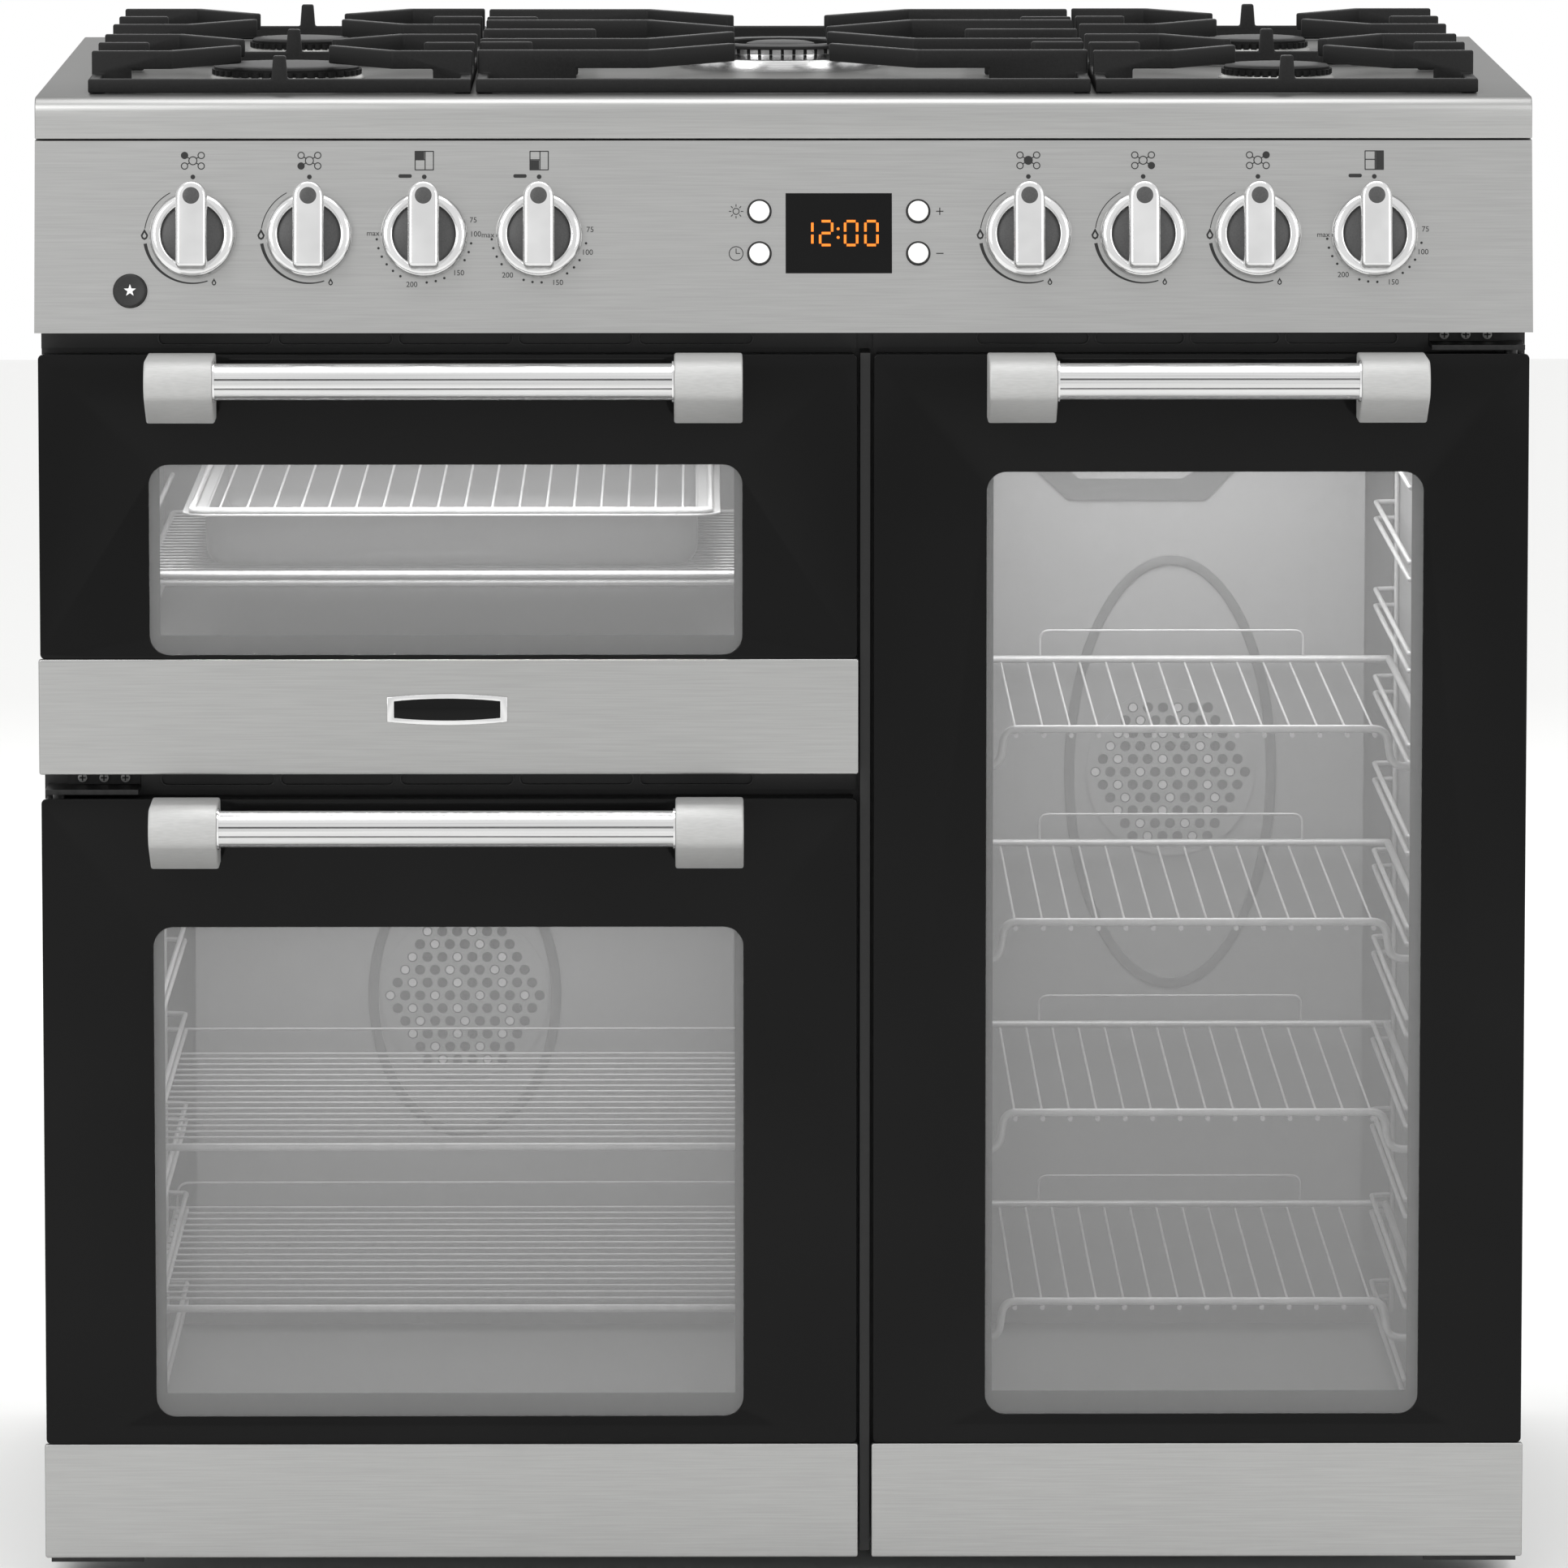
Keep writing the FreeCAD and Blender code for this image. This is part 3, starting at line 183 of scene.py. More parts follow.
# Grill pan with its shelf and rack
PAN_RIM = 14
PAN_RIM_R = 18
PAN_RIM_T = 1.5
PAN_SHEET = 1.2
PAN_BEND = 13
RACK_R = 1.9
RACK_INSET = 2
RACK_SIDE = 6
RACK_END = 4
LOWER_RAIL = 4.5

# Oven rear walls: fan covers, pressed ovals drawn as bands of painted groove shade, and the outline in X and
# Z of the trough above the tall oval, also filled with painted shade
COVER_R = 54
COVER_HOLE = 3.4
COVER_PITCH = 9.6
STAGGER = 0.866
MAIN_OVAL = (62, 92)
TALL_OVAL = (68, 140)
GROOVE_W = 6.5
TROUGH = ((155, 646), (185, 618), (273, 618), (300, 646), (280, 646), (258, 632), (192, 632), (175, 646))

# Studio, in metres: pale floor, soft lights, a camera in front and a little above the hob
FLOOR_HALF = 8.0
CAMERA_AWAY = 7.0
CAMERA_UP = 1.383
CAMERA_X = -0.05
AIM = (0.0, -0.27, 0.492)
SENSOR = 36
FRAME_W = 0.946
# Softboxes: place, height of the aim on the middle axis, size and watts
SOFTBOXES = {"left_softbox": ((-2.6, -3.0, 2.4), 0.5, (1.6, 2.2), 45),
             "right_softbox": ((2.8, -2.6, 1.8), 0.5, (1.4, 2.0), 25),
             "top_softbox": ((0, -0.4, 3.0), 0.9, (2.4, 1.4), 25),
             "back_softbox": ((0, 3.2, 2.2), 0.6, (2.6, 1.8), 25)}
# Oven lamps under the cavities' roofs: X, Z, width and watts; the grill has one more, at its front
LAMPS = {"grill_lamp": (-0.202, 0.700, 0.36, 1.6),
         "main_lamp": (-0.202, 0.432, 0.34, 1.1),
         "tall_lamp": (0.251, 0.702, 0.26, 2.2)}
LAMP_Y = -0.02
LAMP_DEPTH = 0.36
GRILL_FRONT_LAMP = ((-0.202, -0.215, 0.700), (-0.202, -0.16, 0.56), (0.36, 0.02), 1.2)


def hex_colour(text):
    """sRGB hex to linear colour."""
    parts = [int(text[i:i + 2], 16) / 255 for i in (1, 3, 5)]
    return [p / 12.92 if p <= 0.04045 else ((p + 0.055) / 1.055) ** 2.4 for p in parts] + [1.0]


def add_node(tree, kind, settings=(), links=()):
    """Add one shader node, with settings by attribute or socket name and links as (socket, output)."""
    node = tree.nodes.new(kind)
    for key, value in dict(settings).items():
        if hasattr(node, key):
            setattr(node, key, value)
        else:
            node.inputs[key].default_value = value
    for socket, output in links:
        tree.links.new(output, node.inputs[socket])
    return node


def material(name, colour, metallic=0.0, roughness=0.4, **sockets):
    """Principled material with constant values on the shader's own sockets."""
    made = bpy.data.materials.new(name)
    made.use_nodes = True
    shader = made.node_tree.nodes["Principled BSDF"]
    shader.inputs["Base Color"].default_value = hex_colour(colour)
    shader.inputs["Metallic"].default_value = metallic
    shader.inputs["Roughness"].default_value = roughness
    for key, value in sockets.items():
        shader.inputs[key.replace("_", " ")].default_value = value
    return made


def grain(made, grain_mm, dark, light, rough, bump_mm=0.0, kind="ShaderNodeTexNoise", contrast=(0.3, 0.7)):
    """Give a material a pattern of real size: grain_mm is its spacing along X, Y and Z."""
    tree = made.node_tree
    shader = tree.nodes["Principled BSDF"]
    place = add_node(tree, "ShaderNodeTexCoord")
    size = [1 / (g * MM) for g in grain_mm]
    turned = add_node(tree, "ShaderNodeMapping", {"Scale": size}, [("Vector", place.outputs["Object"])])
    pattern = add_node(tree, kind, {"Scale": 1.0}, [("Vector", turned.outputs["Vector"])])
    output = pattern.outputs["Distance" if kind == "ShaderNodeTexVoronoi" else 0]
    tint = add_node(tree, "ShaderNodeValToRGB", (), [("Fac", output)])
    ends = tint.color_ramp.elements
    ends[0].position, ends[1].position = contrast
    ends[0].color, ends[1].color = hex_colour(dark), hex_colour(light)
    tree.links.new(tint.outputs["Color"], shader.inputs["Base Color"])
    ends_rough = {"To Min": rough[0], "To Max": rough[1]}
    spread = add_node(tree, "ShaderNodeMapRange", ends_rough, [("Value", output)])
    tree.links.new(spread.outputs["Result"], shader.inputs["Roughness"])
    if bump_mm:
        height = {"Strength": 0.5, "Distance": bump_mm * MM}
        bump = add_node(tree, "ShaderNodeBump", height, [("Height", output)])
        tree.links.new(bump.outputs["Normal"], shader.inputs["Normal"])
    return made


# Brushed stainless sheet: fine lines along X, drawn 0.8 mm apart so that they show, dull at a low angle
STEEL = grain(material("brushed_stainless_sheet", "#AAAAA9", 1.0, 0.36, Specular_Tint=hex_colour("#6E6E6E")),
              (45, 0.8, 0.8), "#A3A3A2", "#ABABAA", (0.35, 0.38), 0.001)
# Satin zinc casting of the handle ends: very fine grit, soft highlight
SATIN = grain(material("satin_zinc_casting", "#B2B2B1", 0.5, 0.58),
              (6, 0.8, 0.8), "#AEAEAD", "#B7B7B6", (0.54, 0.62), 0.003)
# Polished chrome plate of knob rings and grips
CHROME = grain(material("polished_chrome_plate", "#DADADA", 1.0, 0.16),
               (25, 25, 25), "#D4D4D4", "#E0E0E0", (0.14, 0.20))
# Bright drawn tube of the handle bars
BRIGHT = grain(material("bright_drawn_tube", "#D2D2D2", 1.0, 0.22),
               (200, 1.2, 1.2), "#CACACA", "#DADADA", (0.20, 0.26), 0.001)
# Black printed back of the door glass, glossy with a faint wave
BLACK_GLASS = grain(material("black_printed_glass", "#0C0C0C", 0.0, 0.05, Specular_IOR_Level=0.12),
                    (140, 140, 140), "#0A0A0A", "#0E0E0E", (0.04, 0.07))
# Clear heat coated pane: a thin grey haze over what is behind it
PANE = material("coated_clear_pane", "#B4B4B4", 0.0, 0.06, Alpha=0.16, Specular_IOR_Level=0.4)
INNER_PANE = material("inner_oven_pane", "#A8A8A8", 0.0, 0.08, Alpha=0.10, Specular_IOR_Level=0.3)
# Black stove enamel: satin with a slight orange peel
ENAMEL = grain(material("black_stove_enamel", "#0B0B0B", 0.0, 0.38),
               (3, 3, 3), "#080808", "#0F0F0F", (0.32, 0.46), 0.01)
# Grey oven enamel with small light flecks, and the same darkened as painted shade for the pressed grooves
OVEN_ENAMEL = grain(material("flecked_oven_enamel", "#7A7A7A", 0.0, 0.42),
                    (2.5, 2.5, 2.5), "#777777", "#7F7F7F", (0.40, 0.45), contrast=(0.45, 0.8))
GROOVE_SHADE_ENAMEL = grain(material("oven_enamel_painted_groove_shade", "#4C4C4C", 0.0, 0.45),
                      (2.5, 2.5, 2.5), "#494949", "#505050", (0.42, 0.48), contrast=(0.45, 0.8))
# Cast iron under matt enamel: sandy grain about 1 mm
CAST_IRON = grain(material("matt_cast_iron", "#121212", 0.0, 0.6, Specular_IOR_Level=0.25),
                  (1.2, 1.2, 1.2), "#0E0E0E", "#171717", (0.52, 0.68), 0.10)
# Cast and turned aluminium of the burner bodies
ALUMINIUM = grain(material("turned_aluminium", "#9C9C9A", 1.0, 0.4),
                  (1.5, 1.5, 1.5), "#929290", "#A6A6A4", (0.36, 0.46), 0.01)
# Vitreous enamel of the burner caps
CAP_ENAMEL = grain(material("burner_cap_enamel", "#131313", 0.0, 0.6, Specular_IOR_Level=0.15),
                   (2, 2, 2), "#101010", "#171717", (0.55, 0.65), 0.01)
# Chromed steel wire of shelves and runners, also used for painted glints in the fan cover holes
WIRE_AND_GLINT = grain(material("chromed_wire_and_painted_glint", "#A8A8A8", 0.1, 0.3),
             (12, 12, 12), "#A3A3A3", "#AEAEAE", (0.26, 0.34))
# Black passivated steel of the hinge brackets
BLACK_ZINC = grain(material("black_passivated_steel", "#2C2C2C", 0.6, 0.45),
                   (3, 3, 3), "#272727", "#323232", (0.40, 0.50))
# Zinc coated sheet with its spangle, about 12 mm across
GALVANISED = grain(material("galvanised_sheet", "#9FA2A4", 1.0, 0.45),
                   (12, 12, 12), "#9B9E9F", "#A2A5A6", (0.42, 0.48), 0.0, "ShaderNodeTexVoronoi", (0.1, 0.8))
# Moulded black plastic and its glossy kind
BLACK_PLASTIC = grain(material("moulded_black_plastic", "#141414", 0.0, 0.48),
                      (0.9, 0.9, 0.9), "#101010", "#191919", (0.42, 0.56), 0.02)
GLOSS_PLASTIC = grain(material("gloss_black_plastic", "#070707", 0.0, 0.08, Specular_IOR_Level=0.15),
                      (60, 60, 60), "#060606", "#090909", (0.06, 0.11))
GREY_PLASTIC = grain(material("dark_grey_moulding", "#3E3E3E", 0.0, 0.4),
                     (0.9, 0.9, 0.9), "#393939", "#444444", (0.35, 0.46), 0.02)
WHITE_PLASTIC = grain(material("white_button_moulding", "#F2F2F0", 0.0, 0.3),
                      (1.5, 1.5, 1.5), "#ECECEA", "#F8F8F6", (0.26, 0.36), 0.01)
# Screen printed inks, matt with a slightly uneven film
# The black ink also stands as painted shade: behind the fan covers and in the screw recesses
BLACK_INK_AND_PAINTED_SHADE = grain(material("black_print_ink_and_painted_shade", "#101010", 0.0, 0.55),
                  (0.8, 0.8, 0.8), "#0C0C0C", "#161616", (0.5, 0.6))
WHITE_INK = grain(material("white_printed_ink", "#EFEFEF", 0.0, 0.5),
                  (0.8, 0.8, 0.8), "#E6E6E6", "#F6F6F6", (0.45, 0.55))
# Lit segments of the clock
LED = material("orange_clock_segment", "#D06A10", 0.0, 0.4, Emission_Color=hex_colour("#F27A12"),
               Emission_Strength=0.75)
# Silicone rubber, glass wool, drawn brass and the oxidised sheath of the heaters
RUBBER = grain(material("black_silicone_rubber", "#121212", 0.0, 0.7),
               (1, 1, 1), "#0E0E0E", "#181818", (0.62, 0.78), 0.03)
GLASS_WOOL = grain(material("glass_wool_blanket", "#CDBB86", 0.0, 0.95),
                   (9, 2, 2), "#B9A56E", "#DCCD9C", (0.9, 1.0), 0.6)
BRASS = grain(material("drawn_brass", "#B9985A", 1.0, 0.3),
              (30, 1.5, 1.5), "#AC8B4E", "#C6A566", (0.25, 0.38), 0.01)
SHEATH = grain(material("oxidised_heater_sheath", "#2B2724", 0.6, 0.55),
               (4, 4, 4), "#211E1C", "#383330", (0.48, 0.64), 0.02)


def fresh():
    """Leave nothing selected, so that the next operator acts on its own piece."""
    bpy.ops.object.select_all(action="DESELECT")


def alone(obj):
    """Select one piece only and make it active."""
    fresh()
    obj.select_set(True)
    bpy.context.view_layer.objects.active = obj


def settle_place(obj):
    """Put the object's place into its mesh."""
    alone(obj)
    bpy.ops.object.transform_apply(location=True, rotation=True, scale=True)
    return obj


def finish_with(obj, made):
    """Give a piece one material."""
    obj.data.materials.clear()
    obj.data.materials.append(made)


def settle(obj, name, made):
    """Put the object's place into its mesh, name it and give it its material."""
    settle_place(obj)
    obj.name = name
    finish_with(obj, made)
    return obj


def use(obj, kind, **settings):
    """Add a modifier and apply it."""
    alone(obj)
    changed = obj.modifiers.new(kind.lower(), kind)
    for key, value in settings.items():
        setattr(changed, key, value)
    bpy.ops.object.modifier_apply(modifier=changed.name)


def soften(obj, width_mm, segments):
    """Round the sharp edges and shade the result smooth."""
    use(obj, "BEVEL", width=width_mm * MM, segments=segments, limit_method="ANGLE",
        angle_limit=math.radians(SHARP_EDGE))
    return smooth(obj)


def smooth(obj, angle=35):
    """Shade smooth, apart from edges sharper than an angle in degrees."""
    alone(obj)
    bpy.ops.object.shade_smooth_by_angle(angle=math.radians(angle))
    return obj


def joined(objects, name):
    """Join pieces into one object; each keeps its own material."""
    fresh()
    for obj in objects:
        obj.select_set(True)
    bpy.context.view_layer.objects.active = objects[0]
    bpy.ops.object.join()
    objects[0].name = name
    return objects[0]


def wear(obj, body, slot, *nodes):
    """Fix a finished piece to its body and hide the CAD nodes that it stands for; the finish slot is not
    used.
    """
    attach(obj, body)
    if nodes:
        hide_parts(*nodes)


def add_path(curve, points, closed):
    """Add straight lines through points in mm to a curve."""
    spline = curve.splines.new("POLY")
    spline.points.add(len(points) - 1)
    for point, (x, y, z) in zip(spline.points, points):
        point.co = (x * MM, y * MM, z * MM, 1)
    spline.use_cyclic_u = closed


def linked(name, data):
    """New object in the scene."""
    obj = bpy.data.objects.new(name, data)
    bpy.context.scene.collection.objects.link(obj)
    return obj


def meshed(name, curve):
    """Mesh of a curve, as a new object."""
    obj = linked(name, curve)
    alone(obj)
    bpy.ops.object.convert(target="MESH")
    return obj


def flat(name, loops, low_mm, high_mm, made, bevel_mm=0.0):
    """Plate from closed outlines in mm, holes included, between two heights along local Z."""
    curve = bpy.data.curves.new(name, "CURVE")
    curve.dimensions = "2D"
    curve.fill_mode = "BOTH"
    curve.extrude = (high_mm - low_mm) / 2 * MM - bevel_mm * MM
    curve.bevel_depth = bevel_mm * MM
    curve.offset = -bevel_mm * MM
    curve.bevel_resolution = 2
    for loop in loops:
        add_path(curve, [(x, y, 0) for x, y in loop], True)
    obj = meshed(name, curve)
    obj.location.z = (high_mm + low_mm) / 2 * MM
    settle(obj, name, made)
    use(obj, "WELD", merge_threshold=0.00001)
    return smooth(obj) if bevel_mm else obj


def lathe(name, profile, made, steps=64):
    """Turned piece from (radius, height) points in mm, about local Z."""
    mesh = bpy.data.meshes.new(name)
    points = [(r * MM, 0, z * MM) for r, z in profile]
    mesh.from_pydata(points, [(i, i + 1) for i in range(len(points) - 1)], [])
    obj = linked(name, mesh)
    use(obj, "SCREW", steps=steps, render_steps=steps, use_merge_vertices=True, merge_threshold=0.00002)
    bpy.ops.object.mode_set(mode="EDIT")
    bpy.ops.mesh.select_all(action="SELECT")
    bpy.ops.mesh.normals_make_consistent(inside=False)
    bpy.ops.object.mode_set(mode="OBJECT")
    settle(obj, name, made)
    return smooth(obj)


def printed(text):
    """Flat print of a dial number, centred on the local origin."""
    fresh()
    bpy.ops.object.text_add()
    obj = bpy.context.object
    obj.data.body = text
    obj.data.size = NUMBER_SIZE * MM
    obj.data.align_x = "CENTER"
    obj.data.align_y = "CENTER"
    obj.data.extrude = INK_T / 2 * MM
    bpy.ops.object.convert(target="MESH")
    return settle(bpy.context.object, "number", BLACK_INK_AND_PAINTED_SHADE)


def stand(obj, point, lean=0.0):
    """Turn a piece from local XY with Z outwards to the cooker's front, leaning back by lean."""
    obj.rotation_euler = (math.pi / 2 - lean, 0, 0)
    obj.location = point
    return settle_place(obj)


def lay_across(obj, x, y, z):
    """Turn a piece from local Z to the cooker's X, and set it at a place in mm."""
    obj.rotation_euler = (math.pi / 2, 0, math.pi / 2)
    obj.location = (x * MM, y * MM, z * MM)
    return settle_place(obj)


def shift(obj, x_mm, y_mm, z_mm=0.0):
    """Move a piece from its local origin."""
    obj.location = (x_mm * MM, y_mm * MM, z_mm * MM)
    return settle_place(obj)


def rounded(x0, x1, y0, y1, radius, steps=8):
    """Rectangle outline with round corners."""
    points = []
    for cx, cy, start in ((x1 - radius, y1 - radius, 0), (x0 + radius, y1 - radius, 90),
                          (x0 + radius, y0 + radius, 180), (x1 - radius, y0 + radius, 270)):
        for step in range(steps + 1):
            angle = math.radians(start + 90 * step / steps)
            points.append((cx + radius * math.cos(angle), cy + radius * math.sin(angle)))
    return points


def circle(x, y, radius, steps=32):
    """Round outline."""
    return [(x + radius * math.cos(2 * math.pi * i / steps), y + radius * math.sin(2 * math.pi * i / steps))
            for i in range(steps)]


def paint(node, made):
    """Give a carried over CAD node its finish."""
    finish_with(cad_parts[node], made)


def corners(node):
    """A node's box in mm."""
    low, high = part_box(node)
    return [c / MM for c in low], [c / MM for c in high]


PANEL_LOW = corners("control_panel")[0]


def on_panel(obj, x, rise):
    """Set a local piece on the leaning panel at mm across and mm above its lower edge."""
    point = Vector((x, PANEL_LOW[1] + PANEL_LEAN * rise / PANEL_H, PANEL_LOW[2] + rise)) * MM
    return stand(obj, point, LEAN)


def door_fronts():
    """Outer glass of each door: a black printed border around a clear rounded window."""
    for door in DOORS:
        low, high = corners(door + "_glass")
        door_bottom = corners(door + "_trim")[0][2]
        left, right, lower, upper = WINDOWS[door]
        window = (low[0] + left, high[0] - right, door_bottom + lower, high[2] - upper)
        outer = rounded(low[0], high[0], low[2], high[2], GLASS_R)
        depth = high[1] - low[1]
        border = flat("border", [outer, rounded(*window, WINDOW_R)], -depth, 0, BLACK_GLASS, GLASS_EDGE)
        inner = (window[0] + PANE_GAP, window[1] - PANE_GAP, window[2] + PANE_GAP, window[3] - PANE_GAP)
        pane = flat("pane", [rounded(*inner, WINDOW_R)], -depth + PANE_BACK, -PANE_FRONT, PANE)
        glass = joined([border, pane], door + "_front_glass")
        stand(glass, (0, low[1] * MM, 0))
        wear(glass, door, "door_glass", door + "_glass")
        paint(door + "_inner_glass", INNER_PANE)
        paint(door + "_frame", ENAMEL)


def steel_trims():
    """Folded steel strips over the lower edges of the doors, with rolled long edges."""
    for door in DOORS:
        low, high = corners(door + "_trim")
        outline = rounded(low[0], high[0], low[2], high[2], TRIM_R)
        strip = flat("strip", [outline], low[1] - high[1], 0, STEEL, TRIM_EDGE)
        stand(strip, (0, low[1] * MM, 0))
        strip.name = door + "_steel_trim"
        wear(strip, door, "brushed_steel", door + "_trim")


def barrel(width, height, bow):
    """Outline with bowed upper and lower edges and straight sides."""
    points = []
    for sign in (1, -1):
        for step in range(13):
            along = sign * (0.5 - step / 12)
            points.append((along * width, sign * (height / 2 + bow * (1 - (2 * along) ** 2))))
    return points


def badge():
    """Small bare plate on the grill door's trim: a bright bowed rim around a black field."""
    front = corners("grill_door_trim")[0][1]
    rim = flat("rim", [barrel(*BADGE_RIM), barrel(*BADGE_FIELD)], 0, 1.4, CHROME, 0.4)
    field = flat("field", [barrel(*BADGE_FIELD)], 0, 0.8, GLOSS_PLASTIC, 0.2)
    plate = joined([rim, field], "bare_badge_plate")
    stand(plate, (BADGE_X * MM, (front + BADGE_SUNK) * MM, BADGE_Z * MM))
    wear(plate, "grill_door", "knob_metal")


def bar_outline():
    """Tube section with two fine grooves along its front."""
    points = []
    for degree in range(0, 360, 3):
        radius = BAR_R - GROOVE_DEEP if degree in GROOVES else BAR_R
        points.append((radius * math.cos(math.radians(degree)), radius * math.sin(math.radians(degree))))
    return points


def cap_outline():
    """Side outline of a handle end: flat at the door, a round nose, and a lower face that slants back."""
    back, down = BAR_OUT - CAP_TOE, -CAP_DROP
    leave = 2 * math.pi + math.atan2(down, back) - math.acos(CAP_R / math.hypot(back, down))
    points = [(0, CAP_R), (-BAR_OUT, CAP_R)]
    for step in range(1, 13):
        angle = math.pi / 2 + (leave - math.pi / 2) * step / 12
        points.append((-BAR_OUT + CAP_R * math.cos(angle), CAP_R * math.sin(angle)))
    return points + [(-CAP_TOE, -CAP_DROP), (0, -CAP_DROP)]


def handles():
    """Grooved bright bar between two satin end castings."""
    section = [(COLLAR_IN, 0), (COLLAR_OUT, 0), (COLLAR_OUT, COLLAR_L), (COLLAR_IN, COLLAR_L)]
    for door in DOORS:
        low, high = corners(door + "_handle")
        front = corners(door + "_glass")[0][1] + NOSE_BACK
        z = high[2] - CAP_R
        length = high[0] - low[0] - 2 * CAP_W
        bar = flat("bar", [bar_outline()], -length / 2 - BAR_IN, length / 2 + BAR_IN, BRIGHT)
        smooth(bar, 20)
        pieces = [lay_across(bar, (low[0] + high[0]) / 2, front - BAR_OUT, z)]
        for start, outer in ((low[0], -1), (high[0] - CAP_W, 1)):
            cap = flat("cap", [cap_outline()], -CAP_W / 2, CAP_W / 2, SATIN, CAP_EDGE)
            pieces.append(lay_across(cap, start + CAP_W / 2, front, z))
            collar = lathe("collar", section, CHROME, 48)
            collar.rotation_euler = (0, outer * -math.pi / 2, 0)
            edge = start + CAP_W if outer < 0 else start
            collar.location = (edge * MM, (front - BAR_OUT) * MM, z * MM)
            pieces.append(settle_place(collar))
        handle = joined(pieces, door + "_bar_handle")
        wear(handle, door, "satin_steel", door + "_handle")


def grip_outline(half, bottom, top, corner=3, steps=12):
    """Outline of a knob's grip: round at the top, rounded corners at the bottom."""
    points = []
    for step in range(steps + 1):
        angle = math.pi * step / steps
        points.append((half * math.cos(angle), top - half + half * math.sin(angle)))
    for cx, start in ((corner - half, 180), (half - corner, 270)):
        for step in range(5):
            angle = math.radians(start + 90 * step / 4)
            points.append((cx + corner * math.cos(angle), bottom + corner + corner * math.sin(angle)))
    return points


def knobs():
    """Chromed ring, dark grey disc, chromed grip with a grey dot near its top."""
    ring_section = [(19.2, 4.5), (19.2, 7.0), (20.2, 7.6), (22.5, 7.6), (24.6, 6.6), (25.8, 4.6), (26, 2.2),
                    (26, 0.6), (19.2, 0.6), (19.2, 4.5)]
    disc_section = [(0, 5.2), (18.2, 5.2), (19.2, 4.6), (19.2, 1), (0, 1)]
    for name, x in KNOBS.items():
        ring = lathe("ring", ring_section, CHROME, 72)
        disc = lathe("disc", disc_section, GREY_PLASTIC, 48)
        grip = flat("grip", [grip_outline(9.25, -22, 30)], 2, 27, CHROME, 2.4)
        dot = lathe("dot", [(0, 27.2), (4.6, 27.2), (5.3, 26.9), (5.3, 26.4), (0, 26.4)], GREY_PLASTIC, 32)
        shift(dot, 0, DOT_RISE)
        stem = lathe("stem", [(0, 2), (4, 2), (4, -32), (0, -32)], ALUMINIUM, 24)
        knob = joined([ring, disc, grip, dot, stem], name + "_detailed")
        on_panel(knob, x, KNOB_RISE)
        wear(knob, name, "knob_metal", name)


def ink(loops, x=0.0, y=0.0):
    """Flat print of closed outlines, moved within the panel's plane."""
    moved = [[(px + x, py + y) for px, py in loop] for loop in loops]
    return flat("ink", moved, INK_LIFT, INK_LIFT + INK_T, BLACK_INK_AND_PAINTED_SHADE)


def arc_band(radius, start, end, width0, width1, steps=24):
    """Band along a circle whose width changes from one end to the other."""
    outer, inner = [], []
    for step in range(steps + 1):
        share = step / steps
        angle = math.radians(start + (end - start) * share)
        half = (width0 + (width1 - width0) * share) / 2
        outer.append(((radius + half) * math.cos(angle), (radius + half) * math.sin(angle)))
        inner.append(((radius - half) * math.cos(angle), (radius - half) * math.sin(angle)))
    return outer + inner[::-1]


def flame(size):
    """Teardrop outline with a hollow middle."""
    right = [(0, 1.5), (0.45, 0.7), (0.85, 0), (0.6, -0.75), (0, -1.1)]
    drop = right + [(-x, y) for x, y in right[-2:0:-1]]
    outer = [(x * size, y * size) for x, y in drop]
    return [outer, [(x * size * 0.5, y * size * 0.5 - 0.2) for x, y in drop]]


def line(x0, y0, x1, y1, width):
    """Thin straight stroke as an outline."""
    length = math.hypot(x1 - x0, y1 - y0)
    nx, ny = -(y1 - y0) / length * width / 2, (x1 - x0) / length * width / 2
    return [(x0 + nx, y0 + ny), (x1 + nx, y1 + ny), (x1 - nx, y1 - ny), (x0 - nx, y0 - ny)]


def gas_marks(x, filled):
    """Setting arcs, two flames, and the burner sign above a gas knob."""
    prints = [ink([arc_band(ARC_R, 118, 172, 0.5, 0.5)]), ink([arc_band(ARC_R, 190, 288, 2.0, 0.6)]),
              ink(flame(2.6), -ARC_R, 0), ink(flame(1.7), 12.8, -28.5), ink([circle(0, MARK_RISE, MARK_R)])]
    for side, row in ((-1, 1), (-1, -1), (0, 0), (1, -1), (1, 1)):
        cx, cy = side * 5.0, SIGN_RISE + row * 3.2
        radius = 2.2 if side else 2.7
        loops = [circle(cx, cy, radius)]
        if (side, row) != filled:
            loops.append(circle(cx, cy, radius - STROKE))
        prints.append(ink(loops))
        if side:
            arm = line(side * 2.1, SIGN_RISE + row * 1.4, side * 3.3, SIGN_RISE + row * 2.1, STROKE)
            prints.append(ink([arm]))
    return [on_panel(p, x, KNOB_RISE) for p in prints]


